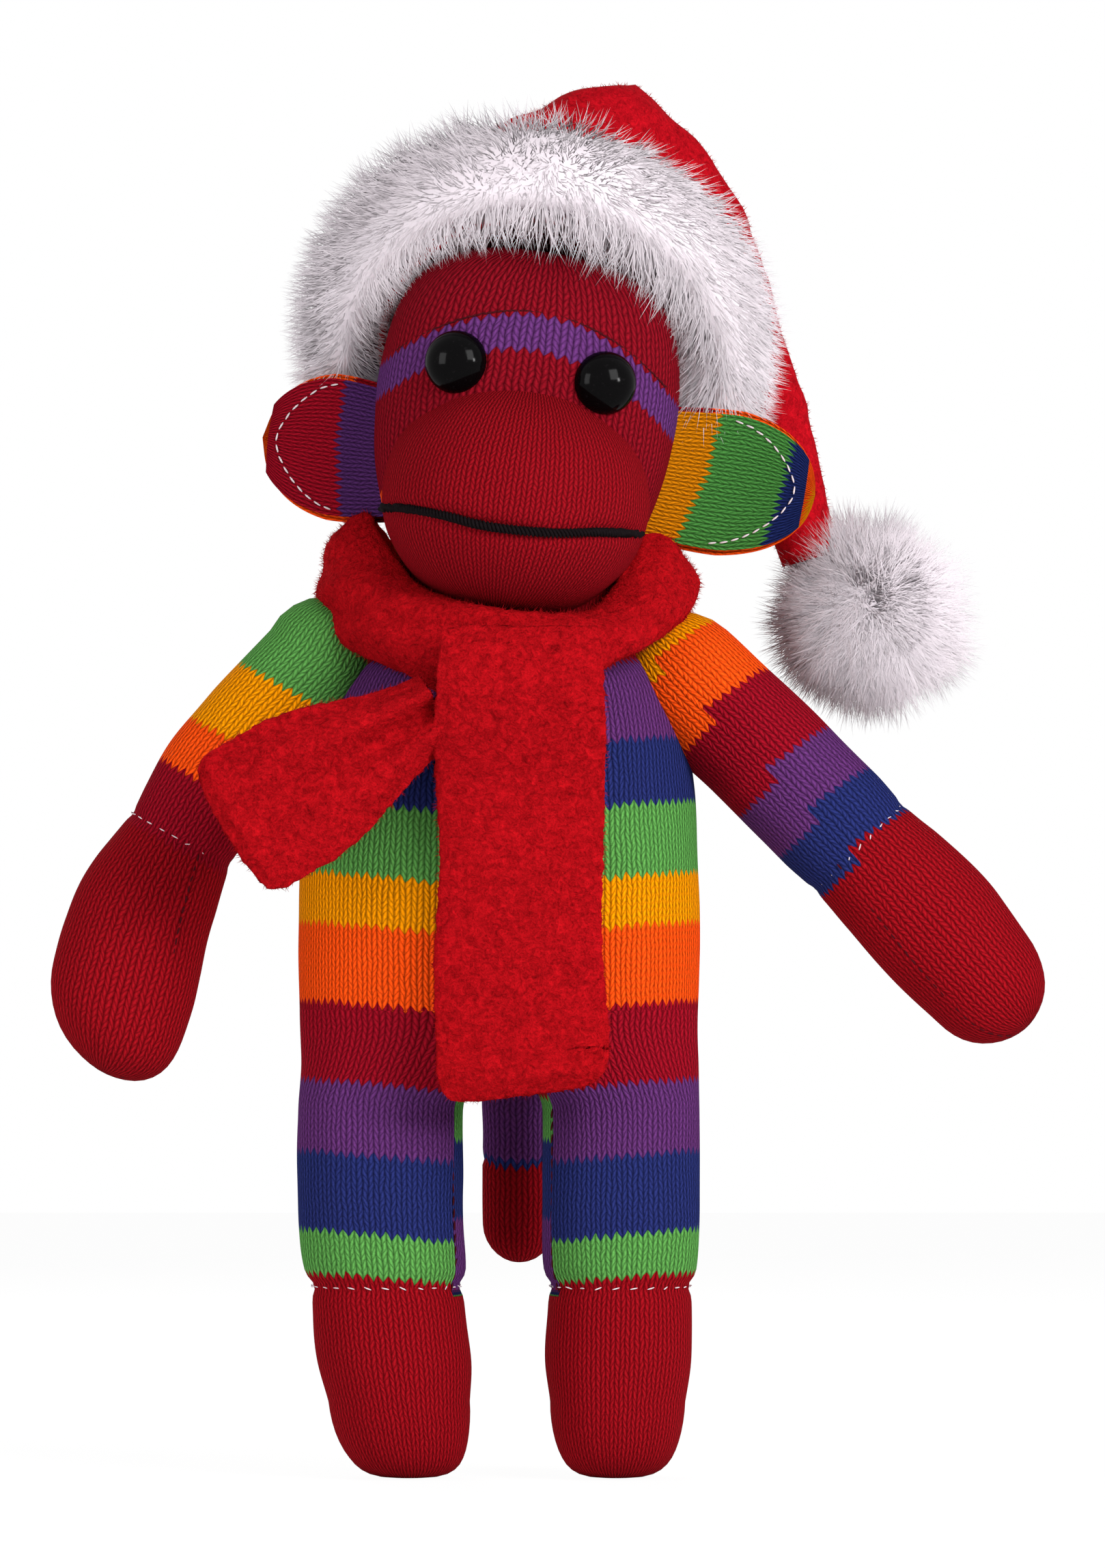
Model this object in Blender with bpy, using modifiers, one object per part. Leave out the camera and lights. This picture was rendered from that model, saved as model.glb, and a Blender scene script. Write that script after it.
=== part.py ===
"""Sock monkey doll: knitted skins over stuffing, sewn limbs, safety eyes, a scarf and a fur-trimmed hat."""

from math import atan, cos, pi, radians, sin, sqrt, tan

import bmesh
import bpy
from mathutils import Matrix, Vector

# Cloth and clearances, in metres
KNIT = 0.0012            # thickness of the knitted skins
FLEECE = 0.0020          # thickness of the hat's fleece
GAP = 0.0003             # clearance between pieces that touch
OVERRUN = 0.006          # how far a cutter runs past what it cuts
SOLE_CUT = 0.0005        # depth of the flat under each foot
MIDLINE_X = -0.01037     # the body's midline, off the middle of the doll's outline
MIDLINE_Y = -0.00796

# Facets
SIDES = 14               # round a limb
TORSO_SIDES = 20         # round the torso and the head
TAIL_SIDES = 10
COLLAR_SIDES = 24
BAND_SIDES = 24

# Legs
LEG_RADIUS = 0.0170      # half depth of the leg, and of its round top at the hip
LEG_HALF_WIDTH = 0.0162
LEG_SPREAD = 0.0232      # from the midline to a leg's middle at the hip
SOLE_INSET = 0.0036      # how far the sole lies inwards of the hip
HIP_HEIGHT = 0.0570      # the hip's hinge line above the floor
ANKLE_HEIGHT = 0.0377    # the seam between the leg and the foot
TOE_CAP = 0.0150         # height over which the foot rounds off to its sole

# Torso
CROTCH = HIP_HEIGHT + LEG_RADIUS + GAP
SEAT_LIP = 0.0092        # the seat's back edge, below the crotch
TORSO_HALF_WIDTH = 0.0392
TORSO_HALF_DEPTH = 0.0250
NECK_HEIGHT = 0.1675     # the torso's top rim
SHOULDER_SLOPE = 1.5     # how much further up than out the sloping shoulders move as the outline grows

# Neck
NECK_PIVOT = Vector((0.0015, 0, 0.1720))
NECK_RADIUS = 0.0120

# Arms: the doll's right arm is bowed, its left one is nearly straight
SHOULDER_RADIUS = 0.0123
WAD_RADIUS = 0.0075
WAD_DOOR = 0.0050        # radius of the hole in the arm's stuffing towards the torso
ARM_HALF_DEPTH = 0.0118
HAND_CAP = 0.0150        # length over which the hand rounds off to its tip
RIGHT_SHOULDER = Vector((-0.0340, 0, 0.1605))
RIGHT_ARM_LENGTH = 0.0920
RIGHT_ARM_HANG = radians(28.5)     # from straight down, outwards
RIGHT_ARM_BOW = 0.0085
RIGHT_ARM_RAISED = radians(75)
LEFT_SHOULDER = Vector((0.0358, 0, 0.1577))
LEFT_ARM_LENGTH = 0.0970
LEFT_ARM_HANG = radians(44.5)
LEFT_ARM_BOW = 0.0012
LEFT_ARM_RAISED = radians(60)
WRIST_SHARE = 0.48       # the wrist's seam, as a share of the arm's length

# Head
HEAD = Vector((0.0047, 0, 0.2050))
HEAD_TILT = radians(8)
HEAD_HALF_WIDTH = 0.0298
HEAD_HALF_DEPTH = 0.0270
HEAD_HALF_HEIGHT = 0.0360

# Muzzle, in the head's frame
MUZZLE = Vector((0.0004, -0.0120, -0.0141))
MUZZLE_HALF_WIDTH = 0.0262
MUZZLE_HALF_DEPTH = 0.0310
MUZZLE_HALF_HEIGHT = 0.0226

# Eyes
EYE_RADIUS = 0.0061
EYE_BULGE = 0.0046
EYE_SPACING = 0.0144     # from the head's middle
EYE_RISE = 0.0113        # above the head's middle
SHANK_RADIUS = 0.0016
SHANK_LENGTH = 0.0062
WASHER_RADIUS = 0.0058
WASHER_THICKNESS = 0.0014

# Mouth
YARN_RADIUS = 0.0010

# Ears, in the head's frame
EAR_HEIGHT = 0.0300
LEFT_EAR_WIDTH = 0.0288
RIGHT_EAR_WIDTH = 0.0228
EAR_LAYER = 0.0021
EAR_RIM = 0.0011         # how far the back layer shows past the front one
EAR_HINGE = 0.0300       # from the head's middle to the seam where the ear is sewn on
LEFT_EAR_DROP = 0.0040
RIGHT_EAR_DROP = 0.0077
EAR_CUP = 0.0030         # how far the ear's middle lies behind its rim
LEFT_EAR_SWEEP = radians(4)
RIGHT_EAR_SWEEP = radians(20)

# Tail
TAIL_ROOT = Vector((0.0038, 0.0229, 0.1030))
TAIL_RADIUS = 0.0072
TAIL_LENGTH = 0.0640
TAIL_HANG = radians(14)  # from straight down, backwards
TAIL_BOW = 0.0040
TAIL_SEAM_SHARE = 0.68

# Scarf
SCARF_THICKNESS = 0.0048
COLLAR_INNER = 0.0240
COLLAR_INNER_SIDE = 0.0045   # how much further the collar's sides lie out
COLLAR_OUTER = 0.0280
COLLAR_OUTER_SWELL = 0.0095
COLLAR_LOW = 0.1490
COLLAR_RISE = 0.0350
COLLAR_LEAN = 0.09           # how much the collar drops towards the doll's left, per length outwards
FRONT_END_WIDTH = 0.0335
FRONT_END_MIDDLE = 0.0045
FRONT_END_TOP = 0.1668
FRONT_END_BOTTOM = 0.0752
FRONT_END_CLEAR = 0.0006     # room between the belly and the hanging end
FRONT_END_SWELL = 0.0090     # how far the end stands off where it passes over the collar
SIDE_END_ROOT = Vector((-0.0166, -0.0368, 0.1480))
SIDE_END_LENGTH = 0.0405
SIDE_END_THICKNESS = 0.0041
SIDE_END_WIDTH = 0.0290
SIDE_END_ROOT_WIDTH = 0.0150
SIDE_END_SLOPE = radians(33.5)
SIDE_END_FOLD = 0.0042
SIDE_END_AHEAD = 0.0044      # how far the end's edge stands in front of its root

# Hat: its ring lies in a plane that leans back from the head's level
HAT_SET_BACK = 0.0121
HAT_RISE = 0.0196
HAT_LEAN = radians(50)
HAT_HALF_WIDTH = 0.0288  # inside the crown, at the ring
HAT_HALF_DEPTH = 0.0322
CROWN_RIM = 0.0060       # how far the crown runs down inside the fur band
BAND_RADIAL = 0.0076     # half thickness of the fur band
BAND_HALF_HEIGHT = 0.0105
FOLD = Vector((0.0270, 0.0300, 0.2622))
FOLD_HALF_HEIGHT = 0.0112
FOLD_HALF_DEPTH = 0.0100
TIP_END = Vector((0.0620, 0.0405, 0.1810))
TIP_END_RADIUS = 0.0058
TIP_SAG = Vector((0.0040, 0.0045, 0.0100))     # how far the hanging tip bows out of a straight line
POMPOM = Vector((0.0737, 0.0405, 0.1700))
POMPOM_RADIUS = 0.0200

# Colours, roughness
COLOURS = {
    "red": (0.36, 0.01, 0.02), "stripe": (0.05, 0.04, 0.25), "scarf": (0.62, 0.01, 0.01),
    "fur": (0.85, 0.80, 0.85), "black": (0.01, 0.01, 0.01), "fibre": (0.85, 0.84, 0.80), "washer": (0.80, 0.80, 0.78),
}

# Outlines as shares, chosen by hand
# Torso, from its lip to its neck: height, half width, half depth, each as a share of its full size
TORSO_SHARES = ((0.0, 0.965, 0.78), (0.12, 0.985, 0.84), (0.32, 1.0, 0.95), (0.52, 0.995, 1.0), (0.70, 0.965, 0.98),
                (0.84, 0.90, 0.89), (0.915, 0.80, 0.80), (0.965, 0.60, 0.68), (1.0, 0.345, 0.51))
# Head, from its bottom to its top: height, half width
HEAD_SHARES = ((-1.0, 0.0), (-0.975, 0.30), (-0.92, 0.50), (-0.80, 0.71), (-0.60, 0.875), (-0.32, 0.97), (0.0, 1.0),
               (0.35, 0.99), (0.62, 0.93), (0.80, 0.80), (0.92, 0.60), (0.98, 0.32), (1.0, 0.0))
# Arm, from its pivot to its tip's cap: length, half width
ARM_SHARES = ((0.0, 1.0), (0.5, 0.97), (0.575, 0.985), (0.75, 1.12), (1.0, 1.16))
# Leg, from its hip to its toe cap: length, half width, half depth
LEG_SHARES = ((0.0, 1.0, 1.0), (0.30, 0.985, 0.985), (0.42, 0.90, 0.93), (0.60, 0.935, 0.96), (1.0, 0.93, 0.97))
# Collar, by its turn from the front: inner, outer, low and top edge, each as a share of its full size
COLLAR_SHARES = ((0.0, 0.47, 0.0, 0.46), (0.0, 0.51, 0.30, 0.52), (1.0, 0.98, 0.52, 1.0), (0.7, 0.85, 0.40, 0.86),
                 (0.25, 0.66, 0.34, 0.80), (0.7, 0.82, 0.40, 0.82), (1.0, 0.93, 0.42, 0.965), (0.0, 0.55, 0.26, 0.56))
# Front end of the scarf, from its top to its bottom: height, how far it lies in front of the torso
FRONT_END_SHARES = ((0.0, 0.78), (0.12, 0.94), (0.22, 0.72), (0.36, 0.22), (0.55, 0.03), (0.85, 0.0), (1.0, 0.04))
# Cross-section of the hanging end: place across its half width, lift over its thickness
STRIP_SHARES = ((-1, 0.5), (-0.9, 0.04), (0, 0), (0.9, 0.04), (1, 0.5), (0.86, 0.96), (0, 1.12), (-0.86, 0.96))
# Mouth, from end to end: step, place across the muzzle, height, the last two as shares of its half size
MOUTH_SHARES = ((0.0, -0.975, -0.19), (0.13, -0.72, -0.18), (0.24, -0.52, -0.195), (0.38, -0.24, -0.25),
                (0.52, 0.04, -0.245), (0.66, 0.31, -0.22), (0.77, 0.52, -0.16), (0.84, 0.66, -0.12),
                (1.0, 0.975, -0.115))


def clearScene():
    for thing in list(bpy.data.objects):
        bpy.data.objects.remove(thing, do_unlink=True)


clearScene()
doll = bpy.data.collections.new("sock_monkey_doll")
cutters = bpy.data.collections.new("cutters")
for group in (doll, cutters):
    bpy.context.scene.collection.children.link(group)


def material(kind):
    """One material for each object, in one of the doll's finishes."""
    made = bpy.data.materials.new(kind)
    made.use_nodes = True
    shader = made.node_tree.nodes["Principled BSDF"]
    shader.inputs["Base Color"].default_value = (*COLOURS[kind], 1)
    shader.inputs["Roughness"].default_value = 0.08 if kind == "black" else 0.9
    return made


def add(mesh, name, kind, parent, group=doll):
    made = bpy.data.objects.new(name, mesh)
    group.objects.link(made)
    made.parent = parent
    if group is cutters:
        made.hide_render = True
        made.display_type = "WIRE"
    else:
        mesh.materials.append(material(kind))
    return made


def pivot(name, parent=None, place=(0, 0, 0), turn=(0, 0, 0)):
    made = bpy.data.objects.new(name, None)
    doll.objects.link(made)
    made.parent = parent
    made.location = place
    made.rotation_euler = turn
    return made


def cut(piece, cutter, operation="DIFFERENCE"):
    modifier = piece.modifiers.new("cut", "BOOLEAN")
    modifier.operation = operation
    modifier.object = cutter
    modifier.solver = "EXACT"


def row(table, place):
    """Values of a table at a place, on a smooth curve through its rows."""
    places = [entry[0] for entry in table]
    place = min(max(place, places[0]), places[-1])
    low = max(index for index in range(len(table) - 1) if places[index] <= place)
    start, end = table[low], table[low + 1]
    before, after = table[max(low - 1, 0)], table[min(low + 2, len(table) - 1)]
    step = end[0] - start[0]
    share = (place - start[0]) / step
    ease = share ** 2 * (3 - 2 * share)
    values = []
    for column in range(1, len(start)):
        slope_in = (end[column] - before[column]) / (end[0] - before[0]) * step
        slope_out = (after[column] - start[column]) / (after[0] - start[0]) * step
        values.append(start[column] * (1 - ease) + end[column] * ease
                      + share * (1 - share) ** 2 * slope_in - share ** 2 * (1 - share) * slope_out)
    return values


def ellipse(centre, across, deep, sides=SIDES):
    """A ring of points: across and deep are its half axes, as vectors."""
    turns = [2 * pi * index / sides for index in range(sides)]
    return [centre + across * cos(turn) + deep * sin(turn) for turn in turns]


def loft(rings, start="open", end="open", closed=False):
    """A mesh through rings of like counts. An end is open, flat, or closed to a point."""
    mesh = bpy.data.meshes.new("loft")
    shape = bmesh.new()
    corners = [[shape.verts.new(point) for point in ring] for ring in rings]
    count = len(rings[0])
    pairs = list(zip(corners, corners[1:])) + ([(corners[-1], corners[0])] if closed else [])
    for lower, upper in pairs:
        for index in range(count):
            after = (index + 1) % count
            shape.faces.new((lower[index], lower[after], upper[after], upper[index]))
    for ring, points, kind in ((corners[0], rings[0], start), (corners[-1], rings[-1], end)):
        if kind == "flat":
            shape.faces.new(ring)
        if kind == "point":
            middle = shape.verts.new(sum(points, Vector()) / count)
            for index in range(count):
                shape.faces.new((ring[index], ring[(index + 1) % count], middle))
    bmesh.ops.recalc_face_normals(shape, faces=shape.faces)
    shape.to_mesh(mesh)
    shape.free()
    for face in mesh.polygons:
        face.use_smooth = True
    return mesh


def thicken(piece, thickness):
    wall = piece.modifiers.new("wall", "SOLIDIFY")
    wall.thickness = thickness
    wall.offset = -1


def ball(name, radius, parent, kind="fibre", group=doll, place=(0, 0, 0), segments=12):
    mesh = bpy.data.meshes.new(name)
    shape = bmesh.new()
    bmesh.ops.create_uvsphere(shape, u_segments=segments, v_segments=segments // 2, radius=radius)
    shape.to_mesh(mesh)
    shape.free()
    made = add(mesh, name, kind, parent, group)
    made.location = place
    return made


def cylinder(name, radius, length, parent, place=(0, 0, 0), turn=(0, 0, 0), group=cutters, segments=12):
    mesh = bpy.data.meshes.new(name)
    shape = bmesh.new()
    bmesh.ops.create_cone(shape, cap_ends=True, segments=segments, radius1=radius, radius2=radius, depth=length)
    shape.to_mesh(mesh)
    shape.free()
    made = add(mesh, name, "washer", parent, group)
    made.location = place
    made.rotation_euler = turn
    return made


def box(name, size, parent, place, turn=(0, 0, 0)):
    mesh = bpy.data.meshes.new(name)
    shape = bmesh.new()
    across, deep, high = size
    bmesh.ops.create_cube(shape, size=across, matrix=Matrix.Diagonal((1, deep / across, high / across, 1)))
    shape.to_mesh(mesh)
    shape.free()
    made = add(mesh, name, "fibre", parent, cutters)
    made.location = place
    made.rotation_euler = turn
    return made


# Torso

def torsoRings(grow, drop=0.0):
    """Rings of the torso's outline, grown or shrunk by a distance all round, from below its lip by a drop."""
    low = CROTCH - SEAT_LIP
    rings = []
    for step in (0.0, 0.16, 0.34, 0.52, 0.68, 0.80, 0.89, 0.95, 1.0):
        width, depth = row(TORSO_SHARES, step)
        height = low + (NECK_HEIGHT + SHOULDER_SLOPE * grow - low) * step
        across = Vector((TORSO_HALF_WIDTH * width + grow, 0, 0))
        deep = Vector((0, TORSO_HALF_DEPTH * depth + grow, 0))
        middle = Vector((NECK_PIVOT.x * step ** 4, 0, height))
        rings.append(ellipse(middle, across, deep, TORSO_SIDES))
    rings[0] = [point - Vector((0, 0, drop)) for point in rings[0]]
    return rings


def hipRoom(body):
    """The room over both legs: round behind, where the seat hugs them, and open in front for their swing."""
    reach = LEG_RADIUS + GAP
    outline = [(-TORSO_HALF_DEPTH - OVERRUN, HIP_HEIGHT - reach), (-TORSO_HALF_DEPTH - OVERRUN, CROTCH)]
    steps = SIDES // 2
    for step in range(steps + 1):
        turn = pi / 2 * step / steps
        outline.append((reach * sin(turn), HIP_HEIGHT + reach * cos(turn)))
    outline.append((reach, HIP_HEIGHT - reach))
    far = TORSO_HALF_WIDTH + OVERRUN
    rings = [[Vector((across, deep, height)) for deep, height in outline] for across in (-far, far)]
    return add(loft(rings, "flat", "flat"), "hip_room", "fibre", body, cutters)


def torso(body, seats):
    skin = add(loft(torsoRings(0), "flat", "flat"), "torso_skin", "stripe", body)
    cut(skin, add(loft(torsoRings(-KNIT, OVERRUN), "flat", "flat"), "torso_inside", "fibre", body, cutters))
    fill = add(loft(torsoRings(-KNIT - GAP), "flat", "flat"), "torso_stuffing", "fibre", body)
    for piece in (skin, fill):
        for cutter in seats:
            cut(piece, cutter)
    return skin, fill


# Legs

def legRings(side, grow, low, high):
    """Rings of a leg and foot about the hip, between two heights over the floor, side +1 for the doll's left."""
    drop = HIP_HEIGHT - TOE_CAP
    inset = SOLE_INSET * side

    def ring(height, width, depth):
        shift = inset * max(1 - height / HIP_HEIGHT, 0) ** 1.5
        middle = Vector((-shift, 0, height - HIP_HEIGHT))
        return ellipse(middle, Vector((width, 0, 0)), Vector((0, depth, 0)))

    rings = []
    if low <= 0:
        end_width, end_depth = row(LEG_SHARES, 1.0)
        for turn in (80, 58, 36, 16):
            spread = cos(radians(turn)) ** 0.55
            height = TOE_CAP - (TOE_CAP + 2 * SOLE_CUT + grow) * sin(radians(turn))
            rings.append(ring(height, (LEG_HALF_WIDTH * end_width + grow) * spread,
                              (LEG_RADIUS * end_depth + grow) * spread))
    places = [TOE_CAP, ANKLE_HEIGHT, HIP_HEIGHT] + [HIP_HEIGHT * share for share in (0.456, 0.596, 0.79)]
    places = [height for height in places if low < height < high]
    if low > 0:
        places = [low] + places
    places.append(min(high, HIP_HEIGHT))
    for height in sorted(set(places)):
        width, depth = row(LEG_SHARES, (HIP_HEIGHT - height) / drop)
        rings.append(ring(height, LEG_HALF_WIDTH * width + grow, LEG_RADIUS * depth + grow))
    if high > HIP_HEIGHT:
        for turn in (20, 40, 58, 74, 84):
            rounding = 1 - 0.30 * sin(radians(turn)) ** 3
            rings.append(ring(HIP_HEIGHT + (LEG_RADIUS + grow) * sin(radians(turn)),
                              (LEG_HALF_WIDTH + grow) * rounding, (LEG_RADIUS + grow) * cos(radians(turn))))
    return rings


def leg(name, side, body):
    hip = pivot(name + "_hip", body, (LEG_SPREAD * side, 0, HIP_HEIGHT))
    top = HIP_HEIGHT + LEG_RADIUS
    shin = loft(legRings(side, 0, ANKLE_HEIGHT + GAP / 2, top), "open", "flat")
    skin = add(shin, name + "_skin", "stripe", hip)
    thicken(skin, KNIT)
    foot_name = name.replace("leg", "foot")
    sole = loft(legRings(side, 0, 0, ANKLE_HEIGHT - GAP / 2), "flat", "open")
    foot = add(sole, foot_name + "_skin", "red", hip)
    thicken(foot, KNIT)
    add(loft(legRings(side, -KNIT - GAP, 0, top), "flat", "flat"), name + "_stuffing", "fibre", hip)
    cut(foot, box(name + "_floor", (4 * LEG_RADIUS, 4 * LEG_RADIUS, OVERRUN), body,
                  (LEG_SPREAD * side, 0, -OVERRUN / 2)))


# Arms

def armRings(length, bow, grow, low, high):
    """Rings of an arm and hand hanging down from its pivot, between two shares of its length."""
    shaft = length - HAND_CAP

    def ring(place, width):
        middle = Vector((bow * sin(pi * max(place, 0) / length), 0, -place))
        depth = min(width, ARM_HALF_DEPTH + grow) if place > 0.25 * length else width
        return ellipse(middle, Vector((width, 0, 0)), Vector((0, depth, 0)), SIDES)

    rings = []
    if low <= 0:
        for turn in (78, 56, 34, 14):
            reach = SHOULDER_RADIUS + grow
            rings.append(ring(-reach * sin(radians(turn)), reach * cos(radians(turn))))
    for share in (0.0, 0.14, 0.28, 0.38, WRIST_SHARE, 0.58, 0.68, 0.76, shaft / length):
        if low <= share <= high:
            width = SHOULDER_RADIUS * row(ARM_SHARES, share * length / shaft)[0]
            rings.append(ring(share * length, width + grow))
    if high >= 1:
        widest = SHOULDER_RADIUS * row(ARM_SHARES, 1.0)[0] + grow
        for turn in (20, 40, 58, 74, 84):
            place = shaft + (HAND_CAP + grow) * sin(radians(turn))
            rings.append(ring(place, widest * cos(radians(turn)) ** 0.85))
    return rings


def arm(name, body, place, length, hang, bow, side):
    """An arm on its shoulder: the wad of stuffing carries the arm, and both turn about the pivot."""
    shoulder = pivot(name + "_shoulder", body, place)
    hanging = pivot(name + "_pivot", shoulder, turn=(0, -hang * side, 0))
    bow = bow * side
    split = WRIST_SHARE
    seam = GAP / 2 / length
    sleeve = loft(armRings(length, bow, 0, 0, split - seam), "point", "open")
    thicken(add(sleeve, name + "_skin", "stripe", hanging), KNIT)
    wrist = [point - Vector((0, 0, GAP)) for point in armRings(length, bow, 0, split, split)[0]]
    mitten = loft([wrist] + armRings(length, bow, 0, split + seam, 1), "open", "point")
    thicken(add(mitten, name.replace("arm", "hand") + "_skin", "red", hanging), KNIT)
    inside = loft(armRings(length, bow, -KNIT - GAP, 0, 1), "point", "point")
    fill = add(inside, name + "_stuffing", "fibre", hanging)
    wad_name = name.replace("arm", "shoulder") + "_stuffing"
    ball(wad_name, WAD_RADIUS, shoulder)
    reach = SHOULDER_RADIUS + OVERRUN
    cut(fill, ball(name + "_wad_space", WAD_RADIUS + 2 * GAP, shoulder, group=cutters, segments=TORSO_SIDES))
    cut(fill, cylinder(name + "_wad_door", WAD_DOOR, reach, shoulder, (-side * reach / 2, 0, 0), (0, pi / 2, 0)))


def shoulderCutters(name, body, place, length, hang, raised, bow, side):
    """The room that an arm's root takes up: its round end, its swing to and fro, and its place when raised."""
    reach = SHOULDER_RADIUS + 3 * GAP
    root = ball(name + "_seat", reach, body, group=cutters, place=place, segments=TORSO_SIDES)
    rest = hang + atan(pi * bow / length) / 2
    places = [-reach * sin(radians(turn)) for turn in (80, 64, 50, 37, 24)]
    places.append(TORSO_HALF_WIDTH + OVERRUN - abs(place.x))
    rings = []
    for out in places:
        width = sqrt(max(reach ** 2 - out ** 2, 0))
        if out >= -reach * sin(rest):
            width = max(width, (out + reach / sin(rest)) / tan(rest))
        rings.append(ellipse(Vector((out * side, 0, 0)), Vector((0, width, 0)), Vector((0, 0, width)), TORSO_SIDES))
    swing = add(loft(rings, "point", "flat"), name + "_swing", "fibre", body, cutters)
    swing.location = place
    outward = hang + atan(pi * bow / length) + raised
    along = Vector((sin(outward) * side, 0, -cos(outward)))
    path = cylinder(name + "_path", reach, TORSO_HALF_WIDTH, body, place + along * TORSO_HALF_WIDTH / 2,
                    (0, -outward * side, 0), segments=TORSO_SIDES)
    return root, swing, path


# Head

def headRings(grow, rows=(-0.975, -0.92, -0.80, -0.60, -0.32, 0.0, 0.35, 0.62, 0.80, 0.92, 0.98)):
    rings = []
    for share in rows:
        width = row(HEAD_SHARES, share)[0]
        rings.append(ellipse(Vector((0, 0, (HEAD_HALF_HEIGHT + grow) * share)),
                             Vector((HEAD_HALF_WIDTH * width + grow * min(1, width * 1.6), 0, 0)),
                             Vector((0, HEAD_HALF_DEPTH * width + grow * min(1, width * 1.6), 0)), TORSO_SIDES))
    return rings


def headForm(name, grow, face, group=cutters, kind="fibre"):
    return add(loft(headRings(grow), "point", "point"), name, kind, face, group)


def faceDepth(across, height, grow=0.0):
    """How far in front of the head's middle its face lies."""
    width = row(HEAD_SHARES, height / HEAD_HALF_HEIGHT)[0]
    span = max(1 - (across / (HEAD_HALF_WIDTH * width)) ** 2, 0)
    return -(HEAD_HALF_DEPTH * width * sqrt(span) + grow)


def eye(name, side, face, head_skin, head_fill, muzzle_pieces):
    """A safety eye: a domed button on a shank through the skin, held by a washer inside."""
    place = Vector((EYE_SPACING * side, faceDepth(EYE_SPACING, EYE_RISE), EYE_RISE))
    outward = Vector((place.x / HEAD_HALF_WIDTH ** 2, place.y / HEAD_HALF_DEPTH ** 2, 0)).normalized()
    turn = outward.to_track_quat("Z", "X").to_euler()
    seat = pivot(name + "_seat", face, place + outward * (GAP + KNIT / 4), turn)
    dome = [(EYE_RADIUS * cos(radians(angle)), EYE_BULGE * sin(radians(angle)) + KNIT / 2)
            for angle in (86, 64, 42, 22, 0)]
    edge = [(EYE_RADIUS, KNIT / 4), (EYE_RADIUS - KNIT / 2, 0), (SHANK_RADIUS, 0), (SHANK_RADIUS, -SHANK_LENGTH)]
    rings = [ellipse(Vector((0, 0, height)), Vector((reach, 0, 0)), Vector((0, reach, 0)), 12)
             for reach, height in dome + edge]
    add(loft(rings, "flat", "flat"), name, "black", seat)
    depth = KNIT + KNIT / 4 + 3 * GAP + WASHER_THICKNESS / 2
    washer = cylinder(name + "_washer", WASHER_RADIUS, WASHER_THICKNESS, seat, (0, 0, -depth), group=doll)
    hole = cylinder(name + "_shank_hole", SHANK_RADIUS + GAP, 4 * SHANK_LENGTH, seat, segments=8)
    recess = 2 * (SHANK_LENGTH - depth) + 2 * GAP
    pocket = cylinder(name + "_washer_pocket", WASHER_RADIUS + GAP, recess + WASHER_THICKNESS, seat, (0, 0, -depth))
    flat = cylinder(name + "_flat", EYE_RADIUS + GAP, EYE_BULGE, seat, (0, 0, EYE_BULGE / 2 - GAP))
    cut(washer, hole)
    cut(head_skin, hole)
    washer_room = WASHER_THICKNESS + 2 * GAP
    cut(head_skin, cylinder(name + "_washer_seat", WASHER_RADIUS + GAP, washer_room, seat, (0, 0, -depth)))
    cut(head_fill, pocket)
    cut(head_skin, flat)
    for piece in muzzle_pieces:
        cut(piece, flat)


def muzzleForm(name, grow, face, group=cutters, kind="red"):
    width = MUZZLE_HALF_WIDTH + grow
    made = ball(name, width, face, kind, group, MUZZLE, TORSO_SIDES)
    depth_share = (MUZZLE_HALF_DEPTH + grow) / width
    height_share = (MUZZLE_HALF_HEIGHT + grow) / width
    made.data.transform(Matrix.Diagonal((1, depth_share, height_share, 1)))
    return made


def muzzleFront(across, height, grow):
    """A point on the front of the muzzle, shares of its half sizes given."""
    span = sqrt(max(1 - across ** 2 - height ** 2, 0))
    return MUZZLE + Vector((across * (MUZZLE_HALF_WIDTH + grow), -span * (MUZZLE_HALF_DEPTH + grow),
                            height * (MUZZLE_HALF_HEIGHT + grow)))


def tube(name, points, radius, kind, parent):
    """A round strand through points, with closed ends."""
    curve = bpy.data.curves.new(name, "CURVE")
    curve.dimensions = "3D"
    curve.bevel_depth = radius
    curve.bevel_resolution = 1
    curve.use_fill_caps = True
    strand = curve.splines.new("POLY")
    strand.points.add(len(points) - 1)
    for corner, point in zip(strand.points, points):
        corner.co = (*point, 1)
    rough = bpy.data.objects.new(name + "_curve", curve)
    doll.objects.link(rough)
    mesh = bpy.data.meshes.new_from_object(rough.evaluated_get(bpy.context.evaluated_depsgraph_get()))
    bpy.data.objects.remove(rough)
    shape = bmesh.new()
    shape.from_mesh(mesh)
    bmesh.ops.remove_doubles(shape, verts=shape.verts, dist=GAP / 30)
    shape.to_mesh(mesh)
    shape.free()
    return add(mesh, name, kind, parent)


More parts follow.
